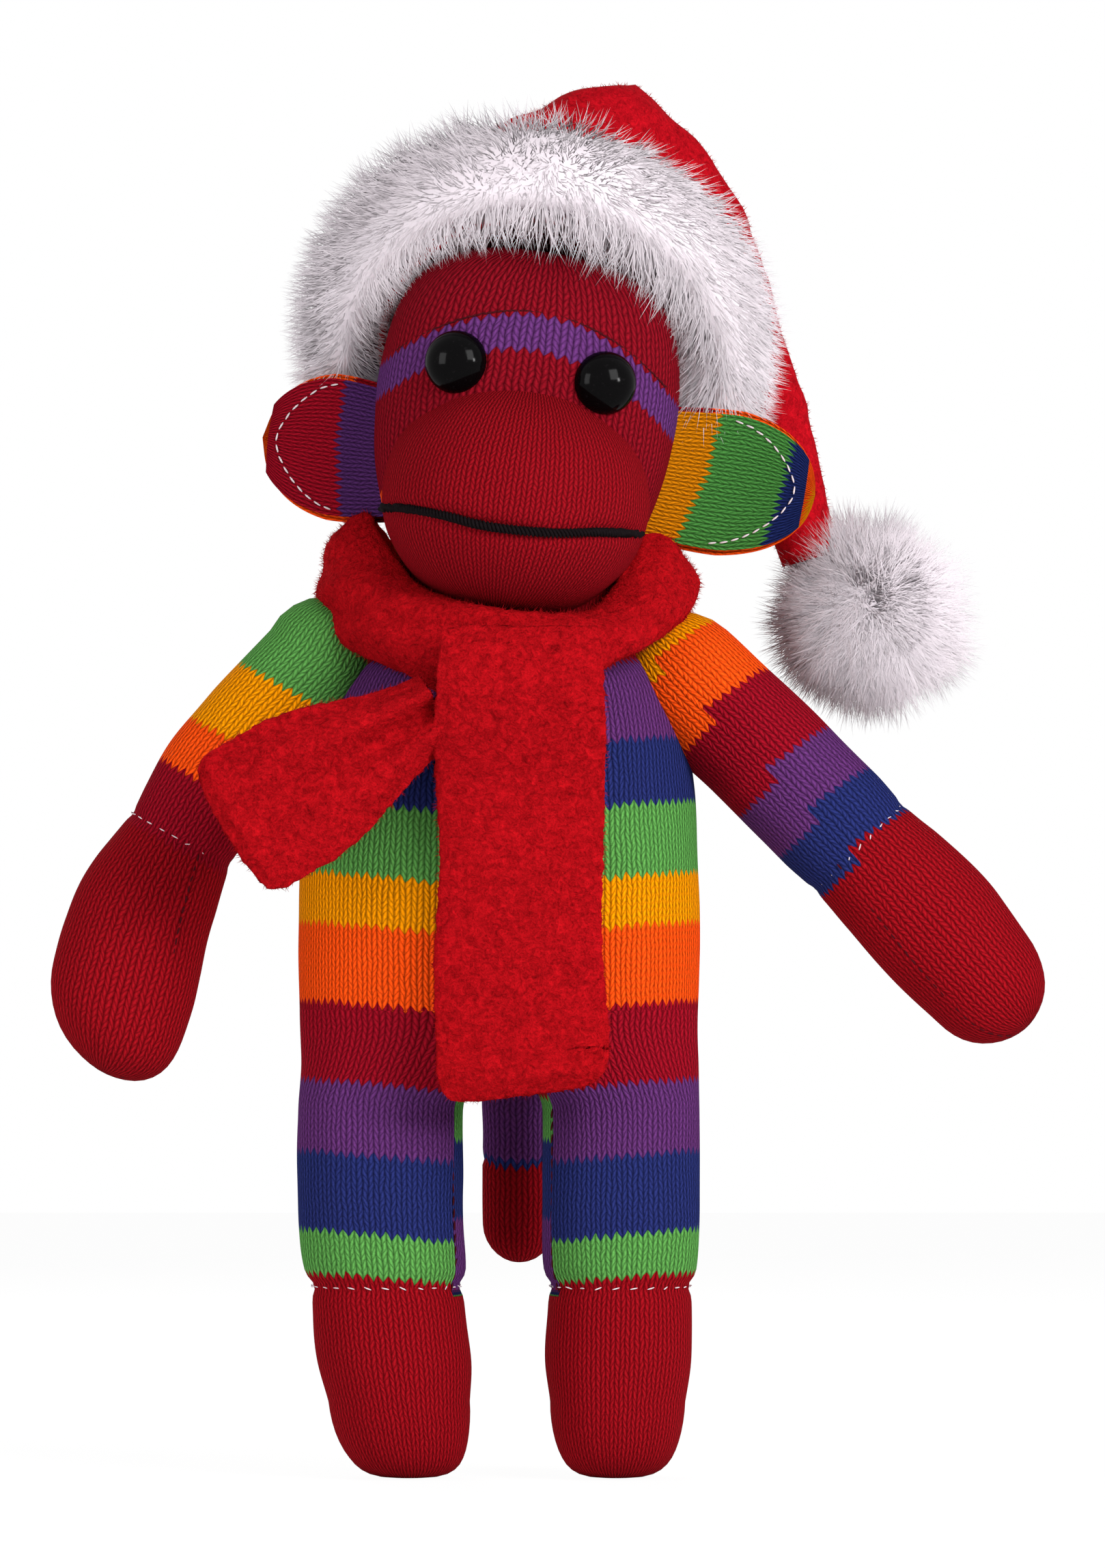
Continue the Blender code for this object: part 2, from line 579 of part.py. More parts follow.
def ear(name, side, width, drop, sweep, face):
    """Two knitted layers, sewn round the rim, that flap about their front edge at the head's side."""
    thickness = 2 * EAR_LAYER + GAP
    hinge = pivot(name + "_hinge", face, (EAR_HINGE * side, -thickness / 2, -drop), (0, 0, sweep * side))
    start = thickness * sin(sweep)
    steps = 9
    for layer, offset, rim in (("front", 0.0, EAR_RIM), ("back", EAR_LAYER + GAP, 0.0)):
        rings = []
        for step in range(steps):
            share = step / (steps - 1)
            rounding = max(1 - share ** 3.6, 0.02) ** 0.5 * (0.88 + 0.12 * min(2 * share, 1))
            half = (EAR_HEIGHT / 2 - rim) * rounding
            place = side * (start + (width - rim - start) * share)
            bend = EAR_CUP * 4 * share * (1 - share)
            ring = []
            for height, depth in ((-half, 0), (-half / 3, EAR_CUP / 3), (half / 3, EAR_CUP / 3), (half, 0)):
                ring.append(Vector((place, offset + bend + depth, height)))
            ring += [point + Vector((0, EAR_LAYER, 0)) for point in reversed(ring)]
            rings.append(ring)
        add(loft(rings, "flat", "flat"), name + "_" + layer, "stripe" if layer == "front" else "red", hinge)


def head(face, neck_space):
    skin = headForm("head_skin", 0, face, doll, "red")
    cut(skin, headForm("head_inside", -KNIT, face))
    fill = headForm("head_stuffing", -KNIT - GAP, face, doll, "fibre")
    muzzle = muzzleForm("muzzle_skin", 0, face, doll)
    cut(muzzle, muzzleForm("muzzle_inside", -KNIT, face))
    muzzle_fill = muzzleForm("muzzle_stuffing", -KNIT - GAP, face, doll, "fibre")
    behind = headForm("head_room", GAP, face)
    for piece in (muzzle, muzzle_fill):
        cut(piece, behind)
        cut(piece, neck_space)
    for piece in (skin, fill):
        cut(piece, neck_space)
    for name, side in (("left_eye", 1), ("right_eye", -1)):
        eye(name, side, face, skin, fill, (muzzle,))
    steps = [index / 18 for index in range(19)]
    line = [muzzleFront(*row(MOUTH_SHARES, step), YARN_RADIUS + 2 * GAP) for step in steps]
    tube("mouth_yarn", line, YARN_RADIUS, "black", face)
    ear("left_ear", 1, LEFT_EAR_WIDTH, LEFT_EAR_DROP, LEFT_EAR_SWEEP, face)
    ear("right_ear", -1, RIGHT_EAR_WIDTH, RIGHT_EAR_DROP, RIGHT_EAR_SWEEP, face)


# Tail

def tailRings(grow, low, high):
    rings = []
    cap = TAIL_RADIUS / TAIL_LENGTH

    def ring(share, width):
        middle = Vector((0, TAIL_BOW * sin(pi * share), -share * TAIL_LENGTH))
        return ellipse(middle, Vector((width, 0, 0)), Vector((0, width, 0)), TAIL_SIDES)

    if low <= 0:
        for turn in (72, 40):
            reach = TAIL_RADIUS * 0.8 + grow
            rings.append(ring(-reach * sin(radians(turn)) / TAIL_LENGTH, reach * cos(radians(turn))))
    seam = GAP / 2 / TAIL_LENGTH
    for share in (0.0, 0.2, 0.4, TAIL_SEAM_SHARE - seam, TAIL_SEAM_SHARE + seam, 1 - cap):
        if low <= share <= high:
            rings.append(ring(share, TAIL_RADIUS * (0.8 + 0.2 * min(share * 4, 1)) + grow))
    if high >= 1:
        for turn in (28, 54, 76):
            rings.append(ring(1 - cap + (cap + grow / TAIL_LENGTH) * sin(radians(turn)),
                              (TAIL_RADIUS + grow) * cos(radians(turn))))
    return rings


def tail(body):
    root = pivot("tail_pivot", body, TAIL_ROOT + Vector((0, TAIL_RADIUS, 0)), (TAIL_HANG, 0, 0))
    skin = add(loft(tailRings(0, 0, TAIL_SEAM_SHARE), "point", "open"), "tail_skin", "stripe", root)
    thicken(skin, KNIT)
    tip = add(loft(tailRings(0, TAIL_SEAM_SHARE, 1), "open", "point"), "tail_tip_skin", "red", root)
    thicken(tip, KNIT)
    add(loft(tailRings(-KNIT - GAP, 0, 1), "point", "point"), "tail_stuffing", "fibre", root)


# Scarf

def collarSections():
    """Cross-sections of the wrapped scarf, from the front round by the doll's left."""
    count = len(COLLAR_SHARES)
    table = [(index / count, *COLLAR_SHARES[index % count]) for index in range(-1, count + 2)]
    sections = []
    for index in range(COLLAR_SIDES):
        turn = index / COLLAR_SIDES
        inner, outer, low, top = row(table, turn)
        outward = Vector((sin(2 * pi * turn), -cos(2 * pi * turn), 0))
        inner = COLLAR_INNER + COLLAR_INNER_SIDE * inner
        outer = COLLAR_OUTER + COLLAR_OUTER_SWELL * outer
        lean = -COLLAR_LEAN * outer * outward.x
        low = COLLAR_LOW + COLLAR_RISE * low
        top = COLLAR_LOW + COLLAR_RISE * top + lean
        middle = (low + top) / 2
        bulge = (outer - inner) / 5
        rim = (top - low) / 5
        corners = ((inner - bulge, low + rim), (inner + bulge, low), (outer - bulge, low), (outer, low + rim),
                   (outer + bulge / 2, middle), (outer, top - rim), (outer - bulge, top), (inner + bulge, top),
                   (inner, top - rim), (inner - bulge / 2, middle))
        sections.append([outward * reach + Vector((NECK_PIVOT.x, 0, height)) for reach, height in corners])
    return sections


def strip(name, rings, body):
    add(loft(rings, "flat", "flat"), name, "scarf", body)


def frontEnd(body):
    """The scarf's end that hangs down the front, over the collar and the belly."""
    hinge = Vector((FRONT_END_MIDDLE, -TORSO_HALF_DEPTH - FRONT_END_CLEAR - FRONT_END_SWELL, FRONT_END_TOP))
    fall = pivot("scarf_front_pivot", body, hinge)
    steps = 14
    length = FRONT_END_TOP - FRONT_END_BOTTOM
    rings = []
    for step in range(steps):
        share = step / (steps - 1)
        share = min(share * 1.06, 1 - (1 - share) * 0.35)
        ahead = row(FRONT_END_SHARES, share)[0]
        inner = -(TORSO_HALF_DEPTH + FRONT_END_CLEAR + (FRONT_END_SWELL + GAP) * ahead)
        left = length * (1 - share)
        rounding = min(1, sqrt(0.22 + left / SCARF_THICKNESS / 1.5))
        half = FRONT_END_WIDTH / 2 * (0.93 + 0.07 * min(share * 4, 1)) * rounding
        middle = Vector((0, inner - hinge.y, -length * share))
        rings.append([middle + Vector((place * half, -SCARF_THICKNESS * lift, 0)) for place, lift in STRIP_SHARES])
    strip("scarf_front_end", rings, fall)


def sideEnd(body):
    """The scarf's short end, pinched where it leaves the wrap, with a fold along its middle."""
    swing = pivot("scarf_side_pivot", body, SIDE_END_ROOT, (0, -SIDE_END_SLOPE, 0))
    rings = []
    steps = 8
    for step in range(steps):
        share = step / (steps - 1)
        half = (SIDE_END_ROOT_WIDTH + (SIDE_END_WIDTH - SIDE_END_ROOT_WIDTH) * min(share * 1.5, 1) ** 0.8) / 2
        fold = SIDE_END_FOLD * (1 - 0.75 * share)
        ahead = -SIDE_END_AHEAD * share
        back = SIDE_END_FOLD + SIDE_END_THICKNESS + ahead
        front = [(-1, 0.0), (-0.5, 1.0), (0.0, 0.0), (0.5, 1.0), (1, 0.0)]
        out = -SIDE_END_LENGTH * share
        ring = [Vector((out, back - fold * lift - SIDE_END_THICKNESS, place * half)) for place, lift in front]
        ring += [Vector((out, back - fold * lift, place * half)) for place, lift in reversed(front)]
        rings.append(ring)
    strip("scarf_side_end", rings, swing)


def scarf(body, arm_room):
    collar = add(loft(collarSections(), closed=True), "scarf_collar", "scarf", body)
    cut(collar, add(loft(torsoRings(GAP), "flat", "flat"), "torso_room", "fibre", body, cutters))
    for cutter in arm_room:
        cut(collar, cutter)
    frontEnd(body)
    sideEnd(body)


# Hat

def hatRing(rim, radius_across, radius_deep, sides, lean):
    """A ring of the hat, in the doll's frame, at a height over the hat's own plane."""
    across = lean.to_3x3() @ Vector((radius_across, 0, 0))
    deep = lean.to_3x3() @ Vector((0, radius_deep, 0))
    return ellipse(lean @ Vector((0, 0, rim)), across, deep, sides)


def crownRings(lean, grow):
    """Rings from the crown's rim to the fold: a curve from each rim point, by a middle ring, to the fold."""
    sides = TORSO_SIDES
    across, deep = HAT_HALF_WIDTH + grow, HAT_HALF_DEPTH + grow
    rim = hatRing(-CROWN_RIM, across, deep, sides, lean)
    start = hatRing(CROWN_RIM / 2, across, deep, sides, lean)
    start_middle = sum(start, Vector()) / sides
    middle = start_middle.lerp(FOLD, 0.62) + Vector((-0.33, 0.10, 0.22)) * HAT_HALF_DEPTH
    slant = Vector((1, 0, -1)).normalized() * (0.68 * across)
    back = Vector((0, 0.92, -0.38)) * (0.80 * deep)
    control = ellipse(middle, slant, back, sides)
    end = ellipse(FOLD - Vector((3 * GAP, 0, 0)), Vector((0, 0, -FOLD_HALF_HEIGHT - grow)),
                  Vector((0, FOLD_HALF_DEPTH + grow, 0)), sides)
    rings = [rim]
    for share in (0.0, 0.2, 0.4, 0.6, 0.8, 1.0):
        rings.append([a * (1 - share) ** 2 + b * 2 * share * (1 - share) + c * share ** 2
                      for a, b, c in zip(start, control, end)])
    return rings


def hat(body, lean):
    crown = add(loft(crownRings(lean, FLEECE)), "hat_crown", "scarf", body)
    thicken(crown, FLEECE)
    rings = []
    for index in range(BAND_SIDES):
        turn = 2 * pi * index / BAND_SIDES
        outward = Vector((cos(turn), sin(turn), 0))
        reach = Vector((outward.x * (HAT_HALF_WIDTH + FLEECE + GAP + BAND_RADIAL),
                        outward.y * (HAT_HALF_DEPTH + FLEECE + GAP + BAND_RADIAL), 0))
        upright = Vector((0, 0, BAND_HALF_HEIGHT))
        angles = [2 * pi * step / 10 for step in range(10)]
        rings.append([lean @ (reach + outward * (BAND_RADIAL * cos(angle)) + upright * sin(angle))
                      for angle in angles])
    band = add(loft(rings, closed=True), "hat_fur_band", "fur", body)
    cut(band, add(loft(crownRings(lean, FLEECE + GAP), "flat", "flat"), "crown_room", "fibre", body, cutters))


def tipRings(grow, shares):
    """Rings of the hanging part of the hat, from the fold to the pompom."""
    start = FOLD + Vector((GAP / 2 - grow, 0, 0))
    bend = FOLD.lerp(TIP_END, 0.45) + TIP_SAG
    rings = []
    for share in shares:
        middle = start * (1 - share) ** 2 + bend * 2 * share * (1 - share) + TIP_END * share ** 2
        along = ((bend - start) * (1 - share) + (TIP_END - bend) * share).normalized()
        along = (Vector((1, 0, 0)) * max(1 - 3 * share, 0) + along * min(3 * share, 1)).normalized()
        half = FOLD_HALF_HEIGHT * (1 - share) + TIP_END_RADIUS * share + grow
        deep = FOLD_HALF_DEPTH * (1 - share) + TIP_END_RADIUS * share + grow
        across = Vector((0, 1, 0)).cross(along).normalized() * -half
        rings.append(ellipse(middle, across, Vector((0, deep, 0)), SIDES))
    return rings


def hangingTip(body):
    hinge = FOLD + Vector((0, 0, FOLD_HALF_HEIGHT + FLEECE))
    hanging = pivot("hat_tip_pivot", body, hinge)
    shares = (0.0, 0.12, 0.26, 0.42, 0.60, 0.80, 1.0)
    tip = add(loft(tipRings(0, shares), "flat", "flat"), "hat_tip", "scarf", hanging)
    tip.data.transform(Matrix.Translation(-hinge))
    fluff = ball("hat_pompom", POMPOM_RADIUS, hanging, "fur", doll, POMPOM - hinge, TORSO_SIDES)
    room = add(loft(tipRings(GAP, (0.6, 0.8, 1.02)), "flat", "flat"), "tip_room", "fibre", hanging, cutters)
    room.data.transform(Matrix.Translation(-hinge))
    cut(fluff, room)


def main():
    body = pivot("doll", place=(MIDLINE_X, MIDLINE_Y, 0))
    face = pivot("head_frame", body, HEAD, (0, HEAD_TILT, 0))
    ball("neck_stuffing", NECK_RADIUS, body, place=NECK_PIVOT)
    neck_space = ball("neck_space", NECK_RADIUS + GAP, body, group=cutters, place=NECK_PIVOT, segments=TORSO_SIDES)
    skin, fill = torso(body, (hipRoom(body), neck_space))
    arms = (("right_arm", RIGHT_SHOULDER, RIGHT_ARM_LENGTH, RIGHT_ARM_HANG, RIGHT_ARM_BOW, RIGHT_ARM_RAISED, -1),
            ("left_arm", LEFT_SHOULDER, LEFT_ARM_LENGTH, LEFT_ARM_HANG, LEFT_ARM_BOW, LEFT_ARM_RAISED, 1))
    arm_room = []
    for name, place, length, hang, bow, raised, side in arms:
        arm(name, body, place, length, hang, bow, side)
        seat, swing, path = shoulderCutters(name, body, place, length, hang, raised, bow, side)
        for piece in (skin, fill):
            cut(piece, swing)
        arm_room += [seat, path]
    for name, side in (("left_leg", 1), ("right_leg", -1)):
        leg(name, side, body)
    head(face, neck_space)
    tail(body)
    scarf(body, arm_room)
    lean = (Matrix.Translation(HEAD) @ Matrix.Rotation(HEAD_TILT, 4, "Y")
            @ Matrix.Translation((0, HAT_SET_BACK, HAT_RISE)) @ Matrix.Rotation(-HAT_LEAN, 4, "X"))
    hat(body, lean)
    hangingTip(body)


main()
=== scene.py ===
from math import atan2, cos, pi, radians, sin, sqrt

import bmesh
import bpy
from mathutils import Matrix, Vector, noise


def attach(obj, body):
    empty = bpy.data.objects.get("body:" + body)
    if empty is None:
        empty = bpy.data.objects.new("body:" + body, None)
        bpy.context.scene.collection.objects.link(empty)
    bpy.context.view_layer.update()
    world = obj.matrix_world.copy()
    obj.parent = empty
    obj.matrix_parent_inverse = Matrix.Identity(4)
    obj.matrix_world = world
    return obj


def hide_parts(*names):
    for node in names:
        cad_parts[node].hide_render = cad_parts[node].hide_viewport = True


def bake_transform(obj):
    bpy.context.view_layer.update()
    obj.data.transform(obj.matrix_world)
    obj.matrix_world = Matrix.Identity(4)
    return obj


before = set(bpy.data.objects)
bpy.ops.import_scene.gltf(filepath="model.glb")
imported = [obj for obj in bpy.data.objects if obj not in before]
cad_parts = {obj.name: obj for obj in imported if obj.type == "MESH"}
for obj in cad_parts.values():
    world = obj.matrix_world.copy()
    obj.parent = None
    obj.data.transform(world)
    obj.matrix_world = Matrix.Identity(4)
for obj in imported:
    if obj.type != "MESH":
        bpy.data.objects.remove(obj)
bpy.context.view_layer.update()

# The doll stands beside the middle of its own outline, because the hat's tip hangs to one side
midline = Vector((-0.01037, -0.00796, 0))
neckPivot = Vector((0.0015, 0, 0.1720))
headMatrix = Matrix.Translation((0.0047, 0, 0.2050)) @ Matrix.Rotation(radians(8), 4, "Y")

# Yarn colours, as they look in even light, except the face red and the ear colours: these are darker copies of red and
# of the stripe yarns with painted shade, the fur band's shade on the face and the shade in the cupped ears
yarn = {
    "red": (140, 13, 23), "darkRed": (138, 13, 30), "shadedFaceRed": (120, 13, 26), "muzzleRed": (131, 13, 23),
    "purple": (89, 45, 102), "blue": (35, 43, 98), "green": (84, 146, 70), "yellow": (228, 138, 3), "orange": (238, 76, 16),
    "shadedEarGreen": (62, 120, 54), "shadedEarYellow": (182, 108, 6), "shadedEarBlue": (26, 36, 84), "shadedEarPurple": (70, 36, 86),
}


def linear(colour):
    parts = [part / 255 for part in colour]
    return tuple(part / 12.92 if part < 0.04 else ((part + 0.055) / 1.055) ** 2.4 for part in parts) + (1,)


# Mesh helpers

def tableAt(table, place):
    # a smooth curve through a table's rows
    place = min(max(place, table[0][0]), table[-1][0])
    low = max(index for index in range(len(table) - 1) if table[index][0] <= place)
    start, end = table[low], table[low + 1]
    before, after = table[max(low - 1, 0)], table[min(low + 2, len(table) - 1)]
    step = end[0] - start[0]
    share = (place - start[0]) / step
    ease = share * share * (3 - 2 * share)
    values = []
    for column in range(1, len(start)):
        slopeIn = (end[column] - before[column]) / (end[0] - before[0]) * step
        slopeOut = (after[column] - start[column]) / (after[0] - start[0]) * step
        values.append(start[column] * (1 - ease) + end[column] * ease
                      + share * (1 - share) ** 2 * slopeIn - share ** 2 * (1 - share) * slopeOut)
    return values


def smoothStep(value):
    value = min(max(value, 0), 1)
    return value * value * (3 - 2 * value)


def linkPiece(name, mesh):
    piece = bpy.data.objects.new(name, mesh)
    bpy.context.scene.collection.objects.link(piece)
    return piece


def dress(piece, material):
    piece.data.name = piece.name
    piece.data.materials.clear()
    piece.data.materials.append(material)
    for face in piece.data.polygons:
        face.use_smooth = True
    return piece


def pieceFrom(shape, name, material):
    mesh = bpy.data.meshes.new(name)
    shape.to_mesh(mesh)
    shape.free()
    return dress(linkPiece(name, mesh), material)


def ringSkin(name, rings, material, wales, courseOf=lambda row, point: row, capStart=True, capEnd=True, closed=False,
             panelOf=None):
    # rings of points become a skin whose UV counts stitches: wales round it, courses along it
    # panelOf changes the course where a column lies in a panel that is cut out of step with the rest
    count = len(rings[0])
    shape = bmesh.new()
    layer = shape.loops.layers.uv.new("stitches")
    corners = [[shape.verts.new(point + midline) for point in ring] for ring in rings]
    rows = len(rings) if closed else len(rings) - 1
    for low in range(rows):
        high = (low + 1) % len(rings)
        for column in range(count):
            after = (column + 1) % count
            turn = (column + 0.5) / count
            face = shape.faces.new((corners[low][column], corners[low][after], corners[high][after], corners[high][column]))
            spots = ((low, column), (low, column + 1), (low + 1, column + 1), (low + 1, column))
            for loop, (row, spot) in zip(face.loops, spots):
                course = courseOf(row, rings[row % len(rings)][spot % count])
                loop[layer].uv = (wales * spot / count, panelOf(turn, course) if panelOf else course)
    for wanted, row in ((capStart, 0), (capEnd, len(rings) - 1)):
        if not wanted or closed:
            continue
        middle = sum(rings[row], Vector()) / count
        pole = shape.verts.new(middle + midline)
        for column in range(count):
            after = (column + 1) % count
            face = shape.faces.new((corners[row][column], corners[row][after], pole))
            spots = ((column, rings[row][column]), (column + 1, rings[row][after]), (column + 0.5, middle))
            for loop, (spot, point) in zip(face.loops, spots):
                loop[layer].uv = (wales * spot / count, courseOf(row, point))
    bmesh.ops.recalc_face_normals(shape, faces=shape.faces)
    return pieceFrom(shape, name, material)


def ellipse(middle, across, deep, sides, square=0.0):
    ring = []
    for index in range(sides):
        turn = 2 * pi * index / sides
        side, front = cos(turn), sin(turn)
        if square:
            grow = 1 / (abs(side) ** (2 + square) + abs(front) ** (2 + square)) ** (1 / (2 + square))
            side, front = side * grow, front * grow
        ring.append(middle + across * side + deep * front)
    return ring


def levelRing(middle, width, depth, sides, square=0.0):
    return ellipse(middle, Vector((width, 0, 0)), Vector((0, depth, 0)), sides, square)


def meshOf(piece):
    # the finished look of a piece as a plain mesh, with its modifiers gone
    graph = bpy.context.evaluated_depsgraph_get()
    mesh = bpy.data.meshes.new_from_object(piece.evaluated_get(graph))
    piece.modifiers.clear()
    old = piece.data
    piece.data = mesh
    bpy.data.meshes.remove(old)
    return piece


def joined(name, pieces):
    # several loose pieces on one body become one
    shape = bmesh.new()
    material = pieces[0].data.materials[0]
    for piece in pieces:
        shape.from_mesh(piece.data)
        bpy.data.objects.remove(piece, do_unlink=True)
    return pieceFrom(shape, name, material)


# Node helpers

def addNode(tree, kind, inputs=None, **settings):
    # a node with its settings, and its inputs set to a value or linked to another node's output
    node = tree.nodes.new(kind)
    for label, value in settings.items():
        setattr(node, label, value)
    for key, value in (inputs or {}).items():
        if isinstance(value, bpy.types.NodeSocket):
            tree.links.new(value, node.inputs[key])
        else:
            node.inputs[key].default_value = value
    return node


def newTree(name, kind, inputs, outputs):
    tree = bpy.data.node_groups.new(name, kind)
    for way, sockets in (("INPUT", inputs), ("OUTPUT", outputs)):
        for label, socket in sockets.items():
            tree.interface.new_socket(label, in_out=way, socket_type="NodeSocket" + socket)
    return tree, tree.nodes.new("NodeGroupInput").outputs, tree.nodes.new("NodeGroupOutput").inputs


def mathNode(tree, operation, first, second=None, clamp=False):
    inputs = {0: first} if second is None else {0: first, 1: second}
    return addNode(tree, "ShaderNodeMath", inputs, operation=operation, use_clamp=clamp).outputs[0]


def scaled(tree, value, factor, shift):
    # value times factor, plus shift
    return mathNode(tree, "ADD", mathNode(tree, "MULTIPLY", value, factor), shift)


def vectorNode(tree, operation, first, second=None, scale=None):
    inputs = {0: first}
    if second is not None:
        inputs[1] = second
    if scale is not None:
        inputs["Scale"] = scale
    return addNode(tree, "ShaderNodeVectorMath", inputs, operation=operation).outputs[0]


def noiseNode(tree, place, scale, detail, **more):
    return addNode(tree, "ShaderNodeTexNoise", {"Vector": place, "Scale": scale, "Detail": detail,
                                                **{label.capitalize(): value for label, value in more.items()}})


def mixColour(tree, factor, first, second, blend="MIX"):
    return addNode(tree, "ShaderNodeMix", {0: factor, 6: first, 7: second}, data_type="RGBA", blend_type=blend).outputs[2]


def greyOf(tree, value):
    return addNode(tree, "ShaderNodeCombineColor", {0: value, 1: value, 2: value}).outputs[0]


def objectPlace(tree):
    return addNode(tree, "ShaderNodeTexCoord").outputs["Object"]


def newMaterial(name, roughness, gloss):
    made = bpy.data.materials.new(name)
    made.use_nodes = True
    shader = made.node_tree.nodes["Principled BSDF"]
    shader.inputs["Roughness"].default_value = roughness
    shader.inputs["Specular IOR Level"].default_value = gloss
    return made, made.node_tree, shader.inputs


def addBump(tree, surface, height, distance, strength):
    bump = addNode(tree, "ShaderNodeBump", {"Distance": distance, "Strength": strength, "Height": height})
    tree.links.new(bump.outputs[0], surface["Normal"])


# Knit, pile, strand and plain materials

def makeKnitGroup():
    # one V of yarn for each stitch: two slanting strands that meet at the wale's middle
    group, given, result = newTree("knitStitch", "ShaderNodeTree", {"Stitches": "Vector", "Slant": "Float"},
                                   {"Height": "Float", "Course": "Float", "Heather": "Float", "GapShade": "Float"})
    wobble = noiseNode(group, given["Stitches"], 0.55, 2)
    shaken = addNode(group, "ShaderNodeVectorMath", {0: wobble.outputs["Color"], 1: (0.42, 0.9, 0), 2: given["Stitches"]},
                     operation="MULTIPLY_ADD").outputs[0]
    split = addNode(group, "ShaderNodeSeparateXYZ", {0: shaken}).outputs
    across = mathNode(group, "ABSOLUTE", mathNode(group, "SUBTRACT", mathNode(group, "FRACT", split[0]), 0.5))
    strand = mathNode(group, "SUBTRACT", split[1], mathNode(group, "MULTIPLY", across, given["Slant"]))
    rise = mathNode(group, "SINE", mathNode(group, "MULTIPLY", mathNode(group, "FRACT", strand), pi))
    arm = mathNode(group, "ABSOLUTE", mathNode(group, "SUBTRACT", mathNode(group, "MULTIPLY", across, 4), 1))
    arm = mathNode(group, "SUBTRACT", 1, mathNode(group, "POWER", arm, 1.7))
    bead = scaled(group, mathNode(group, "POWER", rise, 0.8), 0.55, 0.45)
    height = mathNode(group, "MULTIPLY", bead, scaled(group, arm, 0.84, 0.16))
    fibres = noiseNode(group, given["Stitches"], 3.2, 4, roughness=0.75)
    # painted shade: the gaps that show between strands here and there are darkened, as shade falls into them
    hole = mathNode(group, "SUBTRACT", 0.30, height)
    hole = mathNode(group, "MULTIPLY", hole, mathNode(group, "MULTIPLY", wobble.outputs["Fac"], 4.5), True)
    course = mathNode(group, "FLOOR", strand)
    for label, value in (("Height", height), ("Course", course), ("Heather", fibres.outputs["Fac"]), ("GapShade", hole)):
        group.links.new(value, result[label])
    return group


knitGroup = makeKnitGroup()
knitLook = {"bump": 0.00055, "bumpStrength": 0.85, "valleyShade": 0.30, "crestLight": 1.46, "roughness": 1.0, "heather": 1.1,
            "hole": (120, 60, 40), "holeShade": (0.42, 0.38, 0.38, 1)}


def knitMaterial(name, stripes, span=400, slant=2.2):
    # stripes: (course where it starts, yarn) from the lowest up
    made, tree, surface = newMaterial(name, knitLook["roughness"], 0.02)
    place = addNode(tree, "ShaderNodeUVMap", uv_map="stitches").outputs[0]
    stitch = tree.nodes.new("ShaderNodeGroup")
    stitch.node_tree = knitGroup
    stitch.inputs["Slant"].default_value = slant
    tree.links.new(place, stitch.inputs["Stitches"])
    stitch = stitch.outputs
    course = mathNode(tree, "ADD", mathNode(tree, "DIVIDE", stitch["Course"], span), 0.5 + 0.5 / span)
    ramp = addNode(tree, "ShaderNodeValToRGB", {0: course})
    ramp.color_ramp.interpolation = "CONSTANT"
    marks = ramp.color_ramp.elements
    while len(marks) > 1:
        marks.remove(marks[-1])
    marks[0].position = 0
    for index, (start, kind) in enumerate(stripes):
        mark = marks.new(min(max(start / span + 0.5, 0.001), 0.999)) if index else marks[0]
        mark.color = linear(yarn[kind])
    # painted shade and light: the stitch's height darkens the colour in the valleys between strands and lightens it on
    # their crests; the heather's real tone is then multiplied in
    depth = scaled(tree, stitch["Height"], knitLook["crestLight"] - knitLook["valleyShade"], knitLook["valleyShade"])
    heather = scaled(tree, stitch["Heather"], knitLook["heather"], 1 - knitLook["heather"] / 2)
    depth = mathNode(tree, "MULTIPLY", depth, heather)
    colour = mixColour(tree, 1.0, ramp.outputs[0], greyOf(tree, depth), "MULTIPLY")
    # painted shade for the gaps: the yarn's colour tinted brown and darkened, mixed in where the gap mask is
    shade = mixColour(tree, 0.45, ramp.outputs[0], linear(knitLook["hole"]), "MULTIPLY")
    shade = mixColour(tree, 1.0, shade, knitLook["holeShade"], "MULTIPLY")
    tree.links.new(mixColour(tree, stitch["GapShade"], colour, shade), surface["Base Color"])
    fuzzy = mathNode(tree, "ADD", stitch["Height"], mathNode(tree, "MULTIPLY", stitch["Heather"], 0.5))
    addBump(tree, surface, fuzzy, knitLook["bump"], knitLook["bumpStrength"])
    return made


def makePileGroup():
    # short curly pile: clumps a few millimetres across, with finer curls on them
    group, given, result = newTree("curlyPile", "ShaderNodeTree", {"Place": "Vector", "Clump": "Float"},
                                   {"Height": "Float", "Shade": "Float"})
    coarse = noiseNode(group, given["Place"], given["Clump"], 4, roughness=0.65, distortion=1.2)
    fine = noiseNode(group, given["Place"], mathNode(group, "MULTIPLY", given["Clump"], 4.2), 3)
    height = mathNode(group, "ADD", coarse.outputs["Fac"], mathNode(group, "MULTIPLY", fine.outputs["Fac"], 0.45))
    group.links.new(height, result["Height"])
    # painted shade and light: Shade darkens the pits between the clumps and lightens their tops
    group.links.new(scaled(group, mathNode(group, "SUBTRACT", height, 0.72), 1.9, 0.94), result["Shade"])
    return group


pileGroup = makePileGroup()


def pileMaterial(name, colour, clump, bumpDepth):
    made, tree, surface = newMaterial(name, 1.0, 0.02)
    pile = tree.nodes.new("ShaderNodeGroup")
    pile.node_tree = pileGroup
    pile.inputs["Clump"].default_value = clump
    tree.links.new(objectPlace(tree), pile.inputs["Place"])
    # the pile's colour is multiplied by its painted shade and light
    base = mixColour(tree, 1.0, linear(colour), greyOf(tree, pile.outputs["Shade"]), "MULTIPLY")
    tree.links.new(base, surface["Base Color"])
    addBump(tree, surface, pile.outputs["Height"], bumpDepth, 0.8)
    return made


